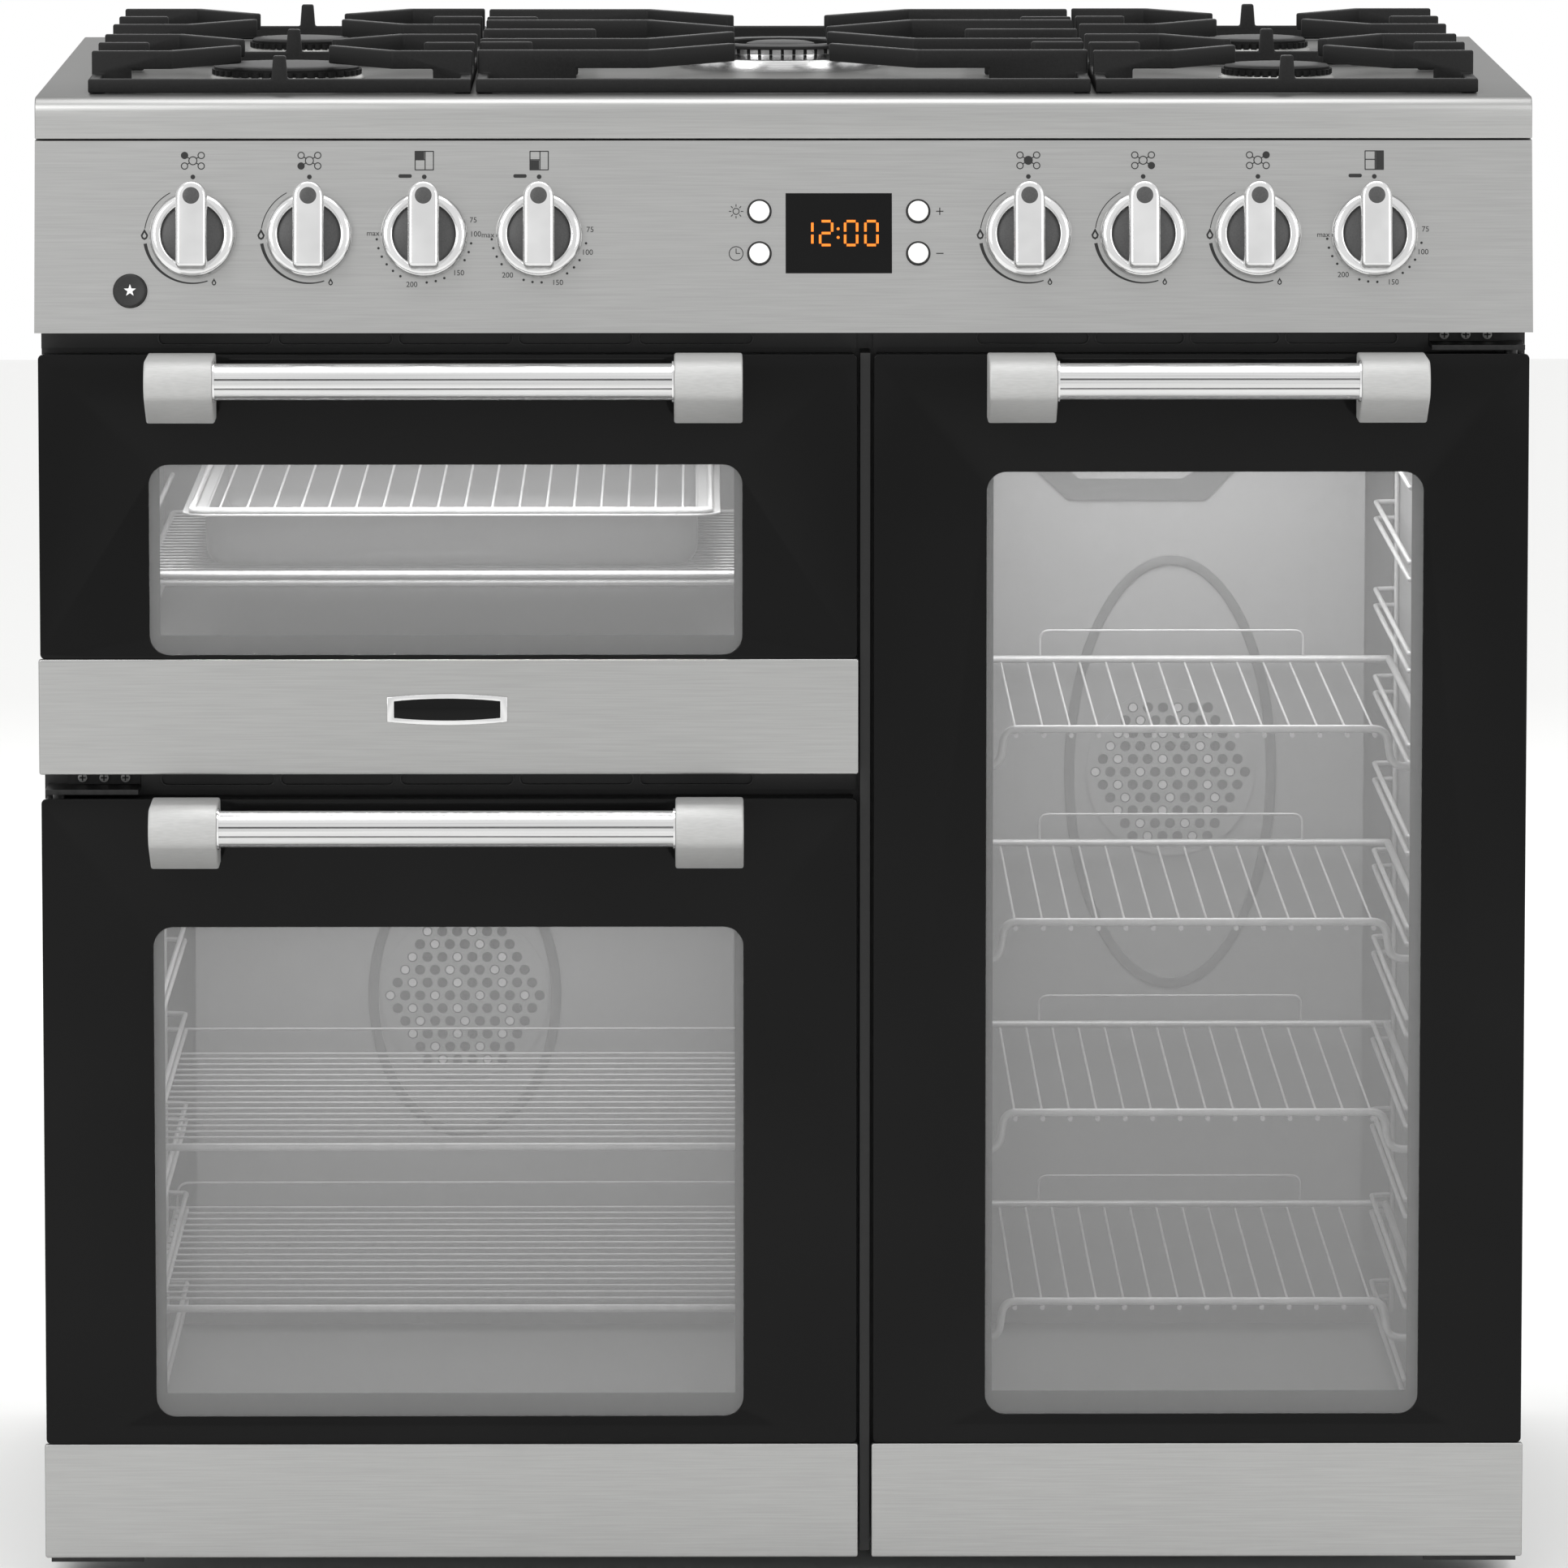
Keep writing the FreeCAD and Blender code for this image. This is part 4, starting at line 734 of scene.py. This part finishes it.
def oven_marks(x, filled):
    """Temperature dots and numbers, the off dash and the compartment sign above an oven knob."""
    prints = [ink([circle(0, MARK_RISE, MARK_R)]), ink([rounded(-15.5, -7.5, 34.6, 36.8, 1)])]
    angles = OVEN_ANGLES if filled else GRILL_ANGLES
    for text, angle in zip(TEMPERATURES, angles):
        turn = math.radians(angle)
        across, up = NUMBER_R * math.cos(turn), NUMBER_R * math.sin(turn)
        prints.append(shift(printed(text), across, up, INK_LIFT + INK_T / 2))
    for angle in range(-10, -176, -11):
        turn = math.radians(angle)
        if min(abs(angle - a) for a in angles) > 9:
            prints.append(ink([circle(DOTS_R * math.cos(turn), DOTS_R * math.sin(turn), 0.75, 16)]))
    low, high = SIGN_RISE - SIGN_HALF, SIGN_RISE + SIGN_HALF
    sill, lintel = low + STROKE, high - STROKE
    rooms = ((-5.2, 0, low + 6.7, lintel), (-5.2, 0, sill, low + 6), (0.9, 5.2, sill, lintel))
    prints.append(ink([rounded(-5.8, 5.8, low, high, 0.4), rounded(-5.2, 5.2, sill, lintel, 0.2)]))
    prints.append(ink([rounded(0.2, 0.8, low + 0.2, high - 0.2, 0.2)]))
    prints.append(ink([rounded(-5.5, 0.4, low + 6.1, low + 6.7, 0.2)]))
    prints.append(ink([rounded(*rooms[filled], 0.2)]))
    return [on_panel(p, x, KNOB_RISE) for p in prints]


def clock_marks():
    """Signs beside the four clock buttons: lamp, clock, plus and minus."""
    lamp = [[circle(0, 0, 2.1), circle(0, 0, 1.6)]]
    for spoke in range(8):
        angle = math.pi * spoke / 4
        c, s = math.cos(angle), math.sin(angle)
        lamp.append([line(2.8 * c, 2.8 * s, 4.3 * c, 4.3 * s, 0.5)])
    dial = [[circle(0, 0, 4.4), circle(0, 0, 3.9)], [line(0, 0, 0, 3, 0.5)], [line(0, 0, 2.4, 0, 0.5)]]
    level = [line(-PLUS_HALF, 0, PLUS_HALF, 0, STROKE)]
    upright = [line(0, -PLUS_HALF, 0, PLUS_HALF, STROKE)]
    signs = {"button_light": (lamp, -CLOCK_SIGN_X), "button_clock": (dial, -CLOCK_SIGN_X),
             "button_plus": ([level, upright], PLUS_SIGN_X), "button_minus": ([level], PLUS_SIGN_X)}
    prints = []
    for name, (strokes, aside) in signs.items():
        x, rise = BUTTONS[name]
        prints += [on_panel(ink(loops), x + aside, rise) for loops in strokes]
    return prints


def panel_prints():
    """All prints of the control panel, as one piece."""
    prints = clock_marks()
    for name, filled in GAS_KNOBS.items():
        prints += gas_marks(KNOBS[name], filled)
    for name, filled in OVEN_KNOBS.items():
        prints += oven_marks(KNOBS[name], filled)
    wear(joined(prints, "panel_prints"), "chassis", "black_plastic")


def digit(text, x):
    """One seven segment figure."""
    w, h, t = 3.6, 7.2, 0.75
    strokes = {"a": (-w, h, w, h), "b": (w, h, w, 0), "c": (w, 0, w, -h), "d": (-w, -h, w, -h),
               "e": (-w, -h, -w, 0), "f": (-w, 0, -w, h), "g": (-w, 0, w, 0)}
    made = []
    for key in SEGMENTS[text]:
        x0, y0, x1, y1 = strokes[key]
        along = Vector((x1 - x0, y1 - y0)).normalized() * 0.9
        loop = line(x0 + along.x, y0 + along.y, x1 - along.x, y1 - along.y, 2 * t)
        made.append(flat("segment", [[(px + x, py) for px, py in loop]], LED_LOW, LED_HIGH, LED))
    return made


def clock_display():
    """Glossy black lens with a lit generic time."""
    paint("clock_module", GLOSS_PLASTIC)
    lit = []
    for text, x in CLOCK_TIME:
        lit += digit(text, x)
    for y in (2.6, -2.6):
        lit.append(flat("segment", [circle(-0.4, y, 0.9, 16)], LED_LOW, LED_HIGH, LED))
    shown = joined(lit, "clock_figures")
    on_panel(shown, CLOCK_X, CLOCK_RISE)
    wear(shown, "chassis", "gloss_black")


def push_buttons():
    """Four white buttons with a dark rim, and the round black ignition button with its star."""
    face_section = [(0, 3), (4.8, 3), (5.9, 2.6), (6.1, 1.8), (6.1, -10), (0, -10)]
    rim_section = [(6.1, 1.6), (6.9, 1.6), (7, 1.2), (7, -9), (6.1, -9), (6.1, 1.6)]
    for name, (x, rise) in BUTTONS.items():
        face = lathe("face", face_section, WHITE_PLASTIC, 40)
        rim = lathe("rim", rim_section, BLACK_PLASTIC, 40)
        button = joined([face, rim], name + "_cap")
        on_panel(button, x, rise)
        wear(button, name, "black_plastic", name)
    cap_section = [(0, 2.6), (6.4, 2.6), (7.6, 3), (9, 3), (9.8, 2.2), (10, 1), (10, -10), (0, -10)]
    cap = lathe("cap", cap_section, BLACK_PLASTIC, 48)
    star = []
    for point in range(10):
        radius = 3.8 if point % 2 == 0 else 1.5
        angle = math.radians(90 + 36 * point)
        star.append((radius * math.cos(angle), radius * math.sin(angle)))
    mark = flat("star", [star], 2.62, 2.72, WHITE_INK)
    button = joined([cap, mark], "button_ignition_cap")
    on_panel(button, *IGNITION)
    wear(button, "button_ignition", "black_plastic", "button_ignition")


def vents_and_screws():
    """Grey edges around the vent slots, and domed screw heads on the brackets, each with its cross recess
    painted as a black cross of shade.
    """
    paint("vent_strips", ENAMEL)
    paint("hinge_brackets", BLACK_ZINC)
    front = corners("vent_strips")[0][1]
    half = SLOT_HALF + SLOT_EDGE
    rims = []
    for start, lengths, z in VENT_ROWS:
        left = start
        for length in lengths:
            right = left + length
            outer = rounded(left - SLOT_EDGE, right + SLOT_EDGE, z - half, z + half, half - 0.1)
            inner = rounded(left, right, z - SLOT_HALF, z + SLOT_HALF, SLOT_HALF - 0.1)
            rims.append(flat("rim", [outer, inner], -0.1, 0.5, GREY_PLASTIC, 0.2))
            left = right + SLOT_GAP
    vents = joined(rims, "vent_slot_edges")
    stand(vents, (0, front * MM, 0))
    wear(vents, "chassis", "black_plastic")
    heads = []
    for middle, z in BRACKETS:
        for step in (-SCREW_STEP, 0, SCREW_STEP):
            dome = lathe("dome", [(0, 0.5), (2, 0.4), (3.2, -0.2), (3.2, -1), (0, -1)], SATIN, 24)
            heads.append(shift(dome, middle + step, z))
            # Cross recess: a flat black cross, painted shade
            for loop in (rounded(-2, 2, -0.45, 0.45, 0.2), rounded(-0.45, 0.45, -2, 2, 0.2)):
                heads.append(shift(flat("cross", [loop], 0.4, 0.6, BLACK_INK_AND_PAINTED_SHADE), middle + step, z))
    screws = joined(heads, "bracket_screw_heads")
    stand(screws, (0, (front - BRACKET_T) * MM, 0))
    wear(screws, "chassis", "black_plastic")


def notched(radius, teeth, depth, share):
    """Round outline with evenly spaced flame ports; share is how much of it isn't cut."""
    points = []
    for tooth in range(teeth):
        start = 2 * math.pi * tooth / teeth
        step = 2 * math.pi / teeth
        for turn, r in ((0, radius), (share, radius), (share, radius - depth), (1, radius - depth)):
            angle = start + step * turn
            points.append((r * math.cos(angle), r * math.sin(angle)))
    return points


def ported(name, radius, teeth, low, high, bore=0.0, share=0.72):
    """Black crown of a burner with flame ports cut around it."""
    loops = [notched(radius, teeth, 1.6, share)]
    if bore:
        loops.append(circle(0, 0, bore, 64))
    return flat(name, loops, low, high, CAP_ENAMEL)


def burners():
    """Turned bodies, black crowns with flame ports, enamelled caps, and the double ring in the middle."""
    top = corners("hob_top")[1][2]
    bodies, caps = [], []
    for x, y, r in BURNERS:
        skirt_section = [(r - 9, 4.4), (r - 2, 4.0), (r, 2.4), (r + 1, 0.8), (r + 1, 0), (r - 9, 0),
                         (r - 9, 4.4)]
        cap_section = [(0, 10), (r * 0.7, 10), (r - 4, 9.5), (r - 2.5, 8.4), (r - 2.5, 7), (0, 7)]
        skirt = lathe("skirt", skirt_section, ALUMINIUM)
        crown = ported("crown", r - 1, 40, 4, 7)
        cap = lathe("cap", cap_section, CAP_ENAMEL)
        bodies.append(shift(skirt, x, y, top))
        caps += [shift(crown, x, y, top), shift(cap, x, y, top)]
    dish = lathe("dish", [(30, 8), (46, 13), (46, 9.6), (57, 7.4), (61.5, 7), (63, 6.4), (63.5, 5), (63.5, 0),
                          (30, 0), (30, 8)], BRIGHT, 96)
    inner = lathe("inner", [(0, 12), (19, 12), (22, 9), (22, 0), (0, 0)], ALUMINIUM)
    bodies += [shift(piece, 0, WOK_Y, top) for piece in (dish, inner)]
    ports = ported("ports", 46.5, 40, 9.8, 13, 34, 0.25)
    ring = lathe("ring", [(34, 13), (34, 14.6), (35, 15.4), (48, 15.4), (50, 14.8), (50.5, 13.6), (50, 13),
                          (34, 13)], CAP_ENAMEL, 96)
    centre = lathe("centre", [(0, 15.4), (17, 15.4), (21, 14.4), (22, 13), (21, 12.1), (0, 12.1)], CAP_ENAMEL)
    caps += [shift(piece, 0, WOK_Y, top) for piece in (ports, ring, centre)]
    spark = lathe("spark", [(0, 8), (1.6, 8), (2.2, 7.4), (2.2, 0), (0, 0)], WHITE_INK, 16)
    bodies.append(shift(spark, SPARK_X, WOK_Y, top))
    wear(joined(bodies, "burner_bodies"), "chassis", "aluminium", "burner_bases")
    wear(joined(caps, "burner_cap_set"), "chassis", "black_enamel", "burner_caps")
    steel_top = softened_copy("hob_top", "brushed_hob_top", STEEL, 1.2)
    wear(steel_top, "chassis", "brushed_steel", "hob_top")


def softened_copy(node, name, made, width_mm, cut_mm=0.0):
    """Copy of a CAD node with merged points and rounded edges, less what lies below a cut."""
    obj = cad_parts[node].copy()
    obj.data = obj.data.copy()
    obj.parent = None
    for key in list(obj.keys()):
        del obj[key]
    bpy.context.scene.collection.objects.link(obj)
    alone(obj)
    bpy.ops.object.mode_set(mode="EDIT")
    bpy.ops.mesh.select_all(action="SELECT")
    bpy.ops.mesh.remove_doubles(threshold=0.00002)
    bpy.ops.mesh.dissolve_limited(angle_limit=math.radians(2))
    if cut_mm:
        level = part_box(node)[0][2] + cut_mm * MM
        bpy.ops.mesh.select_all(action="SELECT")
        bpy.ops.mesh.bisect(plane_co=(0, 0, level), plane_no=(0, 0, 1), clear_inner=True)
        bpy.ops.mesh.select_all(action="SELECT")
        bpy.ops.mesh.fill_holes(sides=0)
    bpy.ops.object.mode_set(mode="OBJECT")
    settle(obj, name, made)
    return soften(obj, width_mm, 2)


def pan_supports():
    """Cast supports with rounded edges, each on four small rubber feet."""
    for side in ("left", "middle", "right"):
        node = "pan_support_" + side
        low, high = corners(node)
        casting = softened_copy(node, node + "_casting", CAST_IRON, SUPPORT_EDGE, SUPPORT_FOOT)
        pieces = [casting]
        for x in (low[0] + FOOT_INSET, high[0] - FOOT_INSET):
            for y in (low[1] + FOOT_INSET, high[1] - FOOT_INSET):
                foot = lathe("foot", [(0, 1.2), (3.5, 1.2), (4, 0.4), (3.8, 0), (0, 0)], RUBBER, 24)
                pieces.append(shift(foot, x, y, low[2]))
        wear(joined(pieces, node + "_casting"), node, "cast_iron", node)


def wires(name, paths, radius_mm):
    """Round wires along lists of points in mm, as one mesh."""
    curve = bpy.data.curves.new(name, "CURVE")
    curve.dimensions = "3D"
    curve.bevel_depth = radius_mm * MM
    curve.bevel_resolution = 2
    curve.use_fill_caps = True
    for path in paths:
        add_path(curve, path, False)
    obj = settle(meshed(name, curve), name, WIRE_AND_GLINT)
    return smooth(obj, 50)


def bent(points, radius, steps=5):
    """Points of a wire whose corners are bent to a radius."""
    made = [points[0]]
    for before, corner, after in zip(points, points[1:], points[2:]):
        corner = Vector(corner)
        one = (Vector(before) - corner).normalized()
        two = (Vector(after) - corner).normalized()
        for step in range(steps + 1):
            share = step / steps
            start, end = corner + one * radius, corner + two * radius
            made.append(start.lerp(corner, share).lerp(corner.lerp(end, share), share))
    return made + [points[-1]]


def shelf_span():
    """Front and rear wires of the shelves, within the solids."""
    low, high = corners("oven_shelves")
    return low[1] + RAIL_R, high[1] - RAIL_R


def spaced(start, end, pitch):
    """Even places from start to end, as near to the pitch as they can be."""
    count = max(1, round((end - start) / pitch))
    return [start + (end - start) * i / count for i in range(count + 1)]


def dipped_rail(x0, x1, front, back, z):
    """Side and front wire of a tall oven's shelf, dipping in a loop at both front corners."""
    left = [(x0, back, z), (x0, front + DIP_BACK, z), (x0, front, z - 6), (x0, front, z - DIP),
            (x0 + DIP_W, front, z - DIP), (x0 + DIP_W + 3, front, z)]
    right = [(x0 + x1 - x, y, height) for x, y, height in left[::-1]]
    return bent(left + right, 8)


def shelves():
    """Wire shelves: tall ones run front to back with dipped front rails, main ones run across."""
    tall_low, tall_high = corners("tall_oven_cavity")
    main_low, main_high = corners("main_oven_cavity")
    front, back = shelf_span()
    thick, thin, beads = [], [], []
    x0, x1 = tall_low[0] + TALL_SIDE, tall_high[0] - TALL_SIDE
    left, right = x0 + UPSTAND_IN, x1 - UPSTAND_IN
    for z in (level + RAIL_R for level in TALL_LEVELS):
        thick += [dipped_rail(x0, x1, front, back, z), [(x0, back, z), (x1, back, z)]]
        top = z + UPSTAND
        thin.append(bent([(left, back, z), (left, back, top), (right, back, top), (right, back, z)], 6))
        for x in spaced(x0 + BARS_IN, x1 - BARS_IN, TALL_PITCH):
            thin.append([(x, front, z - RAIL_R), (x, back, z - RAIL_R)])
            beads.append([(x, front - 2, z - RAIL_R - BEAD_R), (x, front + 3, z - RAIL_R - BEAD_R)])
    x0, x1 = main_low[0] + MAIN_SIDE, main_high[0] - MAIN_SIDE
    for z in (level + RAIL_R for level in MAIN_LEVELS):
        thick.append(bent([(x0, back, z), (x0, front, z), (x1, front, z), (x1, back, z)], 10))
        top = z + UPSTAND
        thin.append(bent([(x0, back, z), (x0, back, top), (x1, back, top), (x1, back, z)], 8))
        for y in spaced(front + MAIN_PITCH, back, MAIN_PITCH):
            thin.append([(x0, y, z + RAIL_R), (x1, y, z + RAIL_R)])
    made = [wires("rails", thick, RAIL_R), wires("bars", thin, BAR_WIRE_R), wires("beads", beads, BEAD_R)]
    rack = joined(made, "wire_shelves")
    wear(rack, "chassis", "chrome_wire", "oven_shelves")


def side_runners():
    """Pairs of wires along the side walls, their ends turned to the wall, on upright wires."""
    paths = []
    front, back = shelf_span()
    for node in ("main_oven_cavity", "tall_oven_cavity"):
        low, high = corners(node)
        levels = spaced(low[2] + RUNNER_LOW, high[2] - RUNNER_HIGH, RUNNER_PITCH)
        ends = (levels[0] - UPRIGHT_PAST, levels[-1] + RUNNER_PAIR + UPRIGHT_PAST)
        for wall, inward in ((low[0] + RUNNER_WALL, 1), (high[0] - RUNNER_WALL, -1)):
            step = wall + inward * RUNNER_STEP
            for y in (front + UPRIGHT_IN, back - UPRIGHT_IN):
                paths.append([(wall, y, z) for z in ends])
            for z in levels + [level + RUNNER_PAIR for level in levels]:
                path = [(wall, front, z), (step, front + 3, z), (step, back - 3, z), (wall, back, z)]
                paths.append(bent(path, 3))
    low, high = corners("grill_cavity")
    shelf = corners("grill_rack")[0][2] - RUNNER_R
    for x in (low[0] + GRILL_RUNNER_WALL, high[0] - GRILL_RUNNER_WALL):
        for rise in GRILL_RUNNERS:
            paths.append([(x, front, shelf + rise), (x, back, shelf + rise)])
    wear(wires("wire_runners", paths, RUNNER_R), "chassis", "chrome_wire", "shelf_runners")


def pressed_bowl(low, high):
    """Open bowl of enamelled sheet between two corners in mm, with rounded walls."""
    fresh()
    low, high = Vector([c * MM for c in low]), Vector([c * MM for c in high])
    bpy.ops.mesh.primitive_cube_add(size=1, location=(low + high) / 2)
    bowl = bpy.context.object
    bowl.scale = high - low
    settle(bowl, "bowl", OVEN_ENAMEL)
    bpy.ops.object.mode_set(mode="EDIT")
    bpy.ops.mesh.select_mode(type="FACE")
    bpy.ops.mesh.select_all(action="DESELECT")
    bpy.ops.object.mode_set(mode="OBJECT")
    for face in bowl.data.polygons:
        face.select = face.normal.z > 0.9
    bpy.ops.object.mode_set(mode="EDIT")
    bpy.ops.mesh.delete(type="FACE")
    bpy.ops.object.mode_set(mode="OBJECT")
    soften(bowl, PAN_BEND, 6)
    use(bowl, "SOLIDIFY", thickness=PAN_SHEET * MM)
    return smooth(bowl)


def frame_wire(x0, x1, y0, y1, z, bend):
    """Closed wire around a flat frame; it starts in the middle of one side."""
    middle = (x0 + x1) / 2
    return bent([(middle, y0, z), (x1, y0, z), (x1, y1, z), (x0, y1, z), (x0, y0, z), (middle, y0, z)], bend)


def grill_set():
    """Pressed grill pan on a wire shelf, and the wire rack on the pan's rim."""
    low, high = corners("grill_pan")
    inner = (low[0] + PAN_RIM, high[0] - PAN_RIM, low[1] + PAN_RIM, high[1] - PAN_RIM)
    loops = [rounded(low[0], high[0], low[1], high[1], PAN_RIM_R), rounded(*inner, PAN_BEND)]
    rim = flat("rim", loops, high[2] - PAN_RIM_T, high[2], OVEN_ENAMEL, 0.5)
    bowl = pressed_bowl((inner[0], inner[2], low[2]), (inner[1], inner[3], high[2] - 0.3))
    wear(joined([rim, bowl], "enamelled_grill_pan"), "chassis", "grey_enamel", "grill_pan")
    shelf_low, shelf_high = corners("grill_rack")
    x0, y0, z = [c + RACK_INSET for c in shelf_low]
    x1, y1, top = [c - RACK_INSET for c in shelf_high]
    left, right = low[0] + RACK_SIDE, high[0] - RACK_SIDE
    front, back = low[1] + RACK_END, high[1] - RACK_END
    lower = [(x0 + RACK_SIDE, y0, z - LOWER_RAIL), (x1 - RACK_SIDE, y0, z - LOWER_RAIL)]
    rails = [frame_wire(x0, x1, y0, y1, z, 8), lower, frame_wire(left, right, front, back, top, 8)]
    bars = [[(x0, y, z), (x1, y, z)] for y in spaced(y0 + TALL_PITCH, y1 - TALL_PITCH, TALL_PITCH)]
    for x in spaced(left + TALL_PITCH, right - TALL_PITCH, TALL_PITCH):
        bars.append([(x, front, top), (x, back, top)])
    rack = joined([wires("rails", rails, RACK_R), wires("bars", bars, BAR_WIRE_R)], "grill_shelf_and_rack")
    wear(rack, "chassis", "chrome_wire", "grill_rack")


def oval(half_x, half_z):
    """Outline of an upright oval."""
    return [(half_x * math.cos(a), half_z * math.sin(a)) for a in (math.pi * i / 36 for i in range(72))]


def cover_holes():
    """Centres of a fan cover's holes, in staggered rows."""
    places = []
    rows = int(COVER_R / COVER_PITCH / STAGGER)
    for row in range(-rows, rows + 1):
        for column in range(-rows, rows + 1):
            x, z = (column + row % 2 / 2) * COVER_PITCH, row * COVER_PITCH * STAGGER
            if math.hypot(x, z) < COVER_R - COVER_PITCH / 2:
                places.append((x, z))
    return places


def ovens():
    """Enamelled cavities; on the rear walls a pressed oval drawn as a band of painted groove shade, and a fan
    cover over a black disc of painted shade, with painted glints in some of its holes.
    """
    for node in ("grill_cavity", "main_oven_cavity", "tall_oven_cavity", "fan_covers"):
        paint(node, OVEN_ENAMEL)
    front = corners("fan_covers")[0][1]
    holes = cover_holes()
    pieces = []
    for node, half in (("main_oven_fan", MAIN_OVAL), ("tall_oven_fan", TALL_OVAL)):
        low, high = corners(node)
        # The pressed groove is drawn as a flat band in darker enamel: painted shade where the groove lies in
        # shadow
        groove = [oval(*half), oval(half[0] - GROOVE_W, half[1] - GROOVE_W)]
        groove_shade_band = flat("groove_shade_band", groove, 0, 1.2, GROOVE_SHADE_ENAMEL, 0.4)
        # Black disc behind the cover: painted shade, so that the holes look dark
        shade = flat("shade", [circle(0, 0, COVER_R - 1)], 0, 0.4, BLACK_INK_AND_PAINTED_SHADE)
        loops = [circle(0, 0, COVER_R, 64)] + [circle(x, z, COVER_HOLE, 12) for x, z in holes]
        cover = flat("cover", loops, 0.5, 1.3, OVEN_ENAMEL)
        # Bright discs in every third hole: painted glints standing for the lit fan behind the cover
        glint_spots = [circle(x, z, COVER_HOLE - 0.8, 12) for x, z in holes[1::3]]
        glints = [flat("glint", [spot], 0.42, 0.6, WIRE_AND_GLINT) for spot in glint_spots]
        for piece in [groove_shade_band, shade, cover] + glints:
            pieces.append(shift(piece, (low[0] + high[0]) / 2, (low[2] + high[2]) / 2))
    # Flat plate in the darker groove enamel: painted shade of the pressed trough above the tall oval
    pieces.append(flat("trough", [TROUGH], 0, 1, GROOVE_SHADE_ENAMEL))
    pressings_and_shade = joined(pieces, "rear_wall_pressings_and_painted_shade")
    stand(pressings_and_shade, (0, front * MM, 0))
    wear(pressings_and_shade, "chassis", "grey_enamel")


def plain_finishes():
    """Finishes of the CAD nodes that are shown as they are."""
    finishes = {"side_panels": ENAMEL, "front_frame": ENAMEL, "control_panel": STEEL,
                "rear_panel": GALVANISED, "base_tray": GALVANISED, "fan_motors": GALVANISED,
                "insulation": GLASS_WOOL, "heating_elements": SHEATH, "oven_seals": RUBBER, "gas_rail": BRASS,
                "oven_controls": BLACK_PLASTIC, "terminal_box": BLACK_PLASTIC,
                "levelling_feet": BLACK_PLASTIC, "main_oven_fan": ALUMINIUM, "tall_oven_fan": ALUMINIUM}
    for node, made in finishes.items():
        paint(node, made)


def aimed(obj, place, aim):
    """Set a light or camera at a place and turn it to what it looks at."""
    obj.location = place
    obj.rotation_euler = (Vector(aim) - Vector(place)).to_track_quat("-Z", "Y").to_euler()


def area_light(name, place, aim, size, watts):
    """Rectangular soft light."""
    lamp = bpy.data.lights.new(name, "AREA")
    lamp.shape = "RECTANGLE"
    lamp.size, lamp.size_y = size
    lamp.energy = watts
    aimed(linked(name, lamp), place, aim)


def studio():
    """Floor, plain white surroundings, lights and camera."""
    fresh()
    bpy.ops.mesh.primitive_plane_add(size=2 * FLOOR_HALF)
    floor = bpy.context.object
    floor.name = "pale_floor"
    floor.data.materials.append(material("pale_studio_floor", "#F1F1F0", 0.0, 0.8))
    world = bpy.data.worlds.new("soft_studio")
    world.use_nodes = True
    background = world.node_tree.nodes["Background"]
    background.inputs["Color"].default_value = hex_colour("#FFFFFF")
    background.inputs["Strength"].default_value = 1.0
    bpy.context.scene.world = world
    for name, (place, aim_z, size, watts) in SOFTBOXES.items():
        area_light(name, place, (0, 0, aim_z), size, watts)
    for name, (x, z, width, watts) in LAMPS.items():
        area_light(name, (x, LAMP_Y, z), (x, LAMP_Y, 0), (width, LAMP_DEPTH), watts)
    area_light("grill_front_lamp", *GRILL_FRONT_LAMP)
    camera = bpy.data.cameras.new("front_camera")
    camera.sensor_width = SENSOR
    place = Vector((CAMERA_X, AIM[1] - CAMERA_AWAY, CAMERA_UP))
    camera.lens = SENSOR * (place - Vector(AIM)).length / FRAME_W
    obj = linked("front_camera", camera)
    aimed(obj, place, AIM)
    bpy.context.scene.camera = obj
    # Plain display of tones, so that the finishes show their own colours
    bpy.context.scene.view_settings.view_transform = "Standard"


studio()
plain_finishes()
door_fronts()
steel_trims()
badge()
handles()
knobs()
panel_prints()
clock_display()
push_buttons()
vents_and_screws()
burners()
pan_supports()
ovens()
shelves()
side_runners()
grill_set()
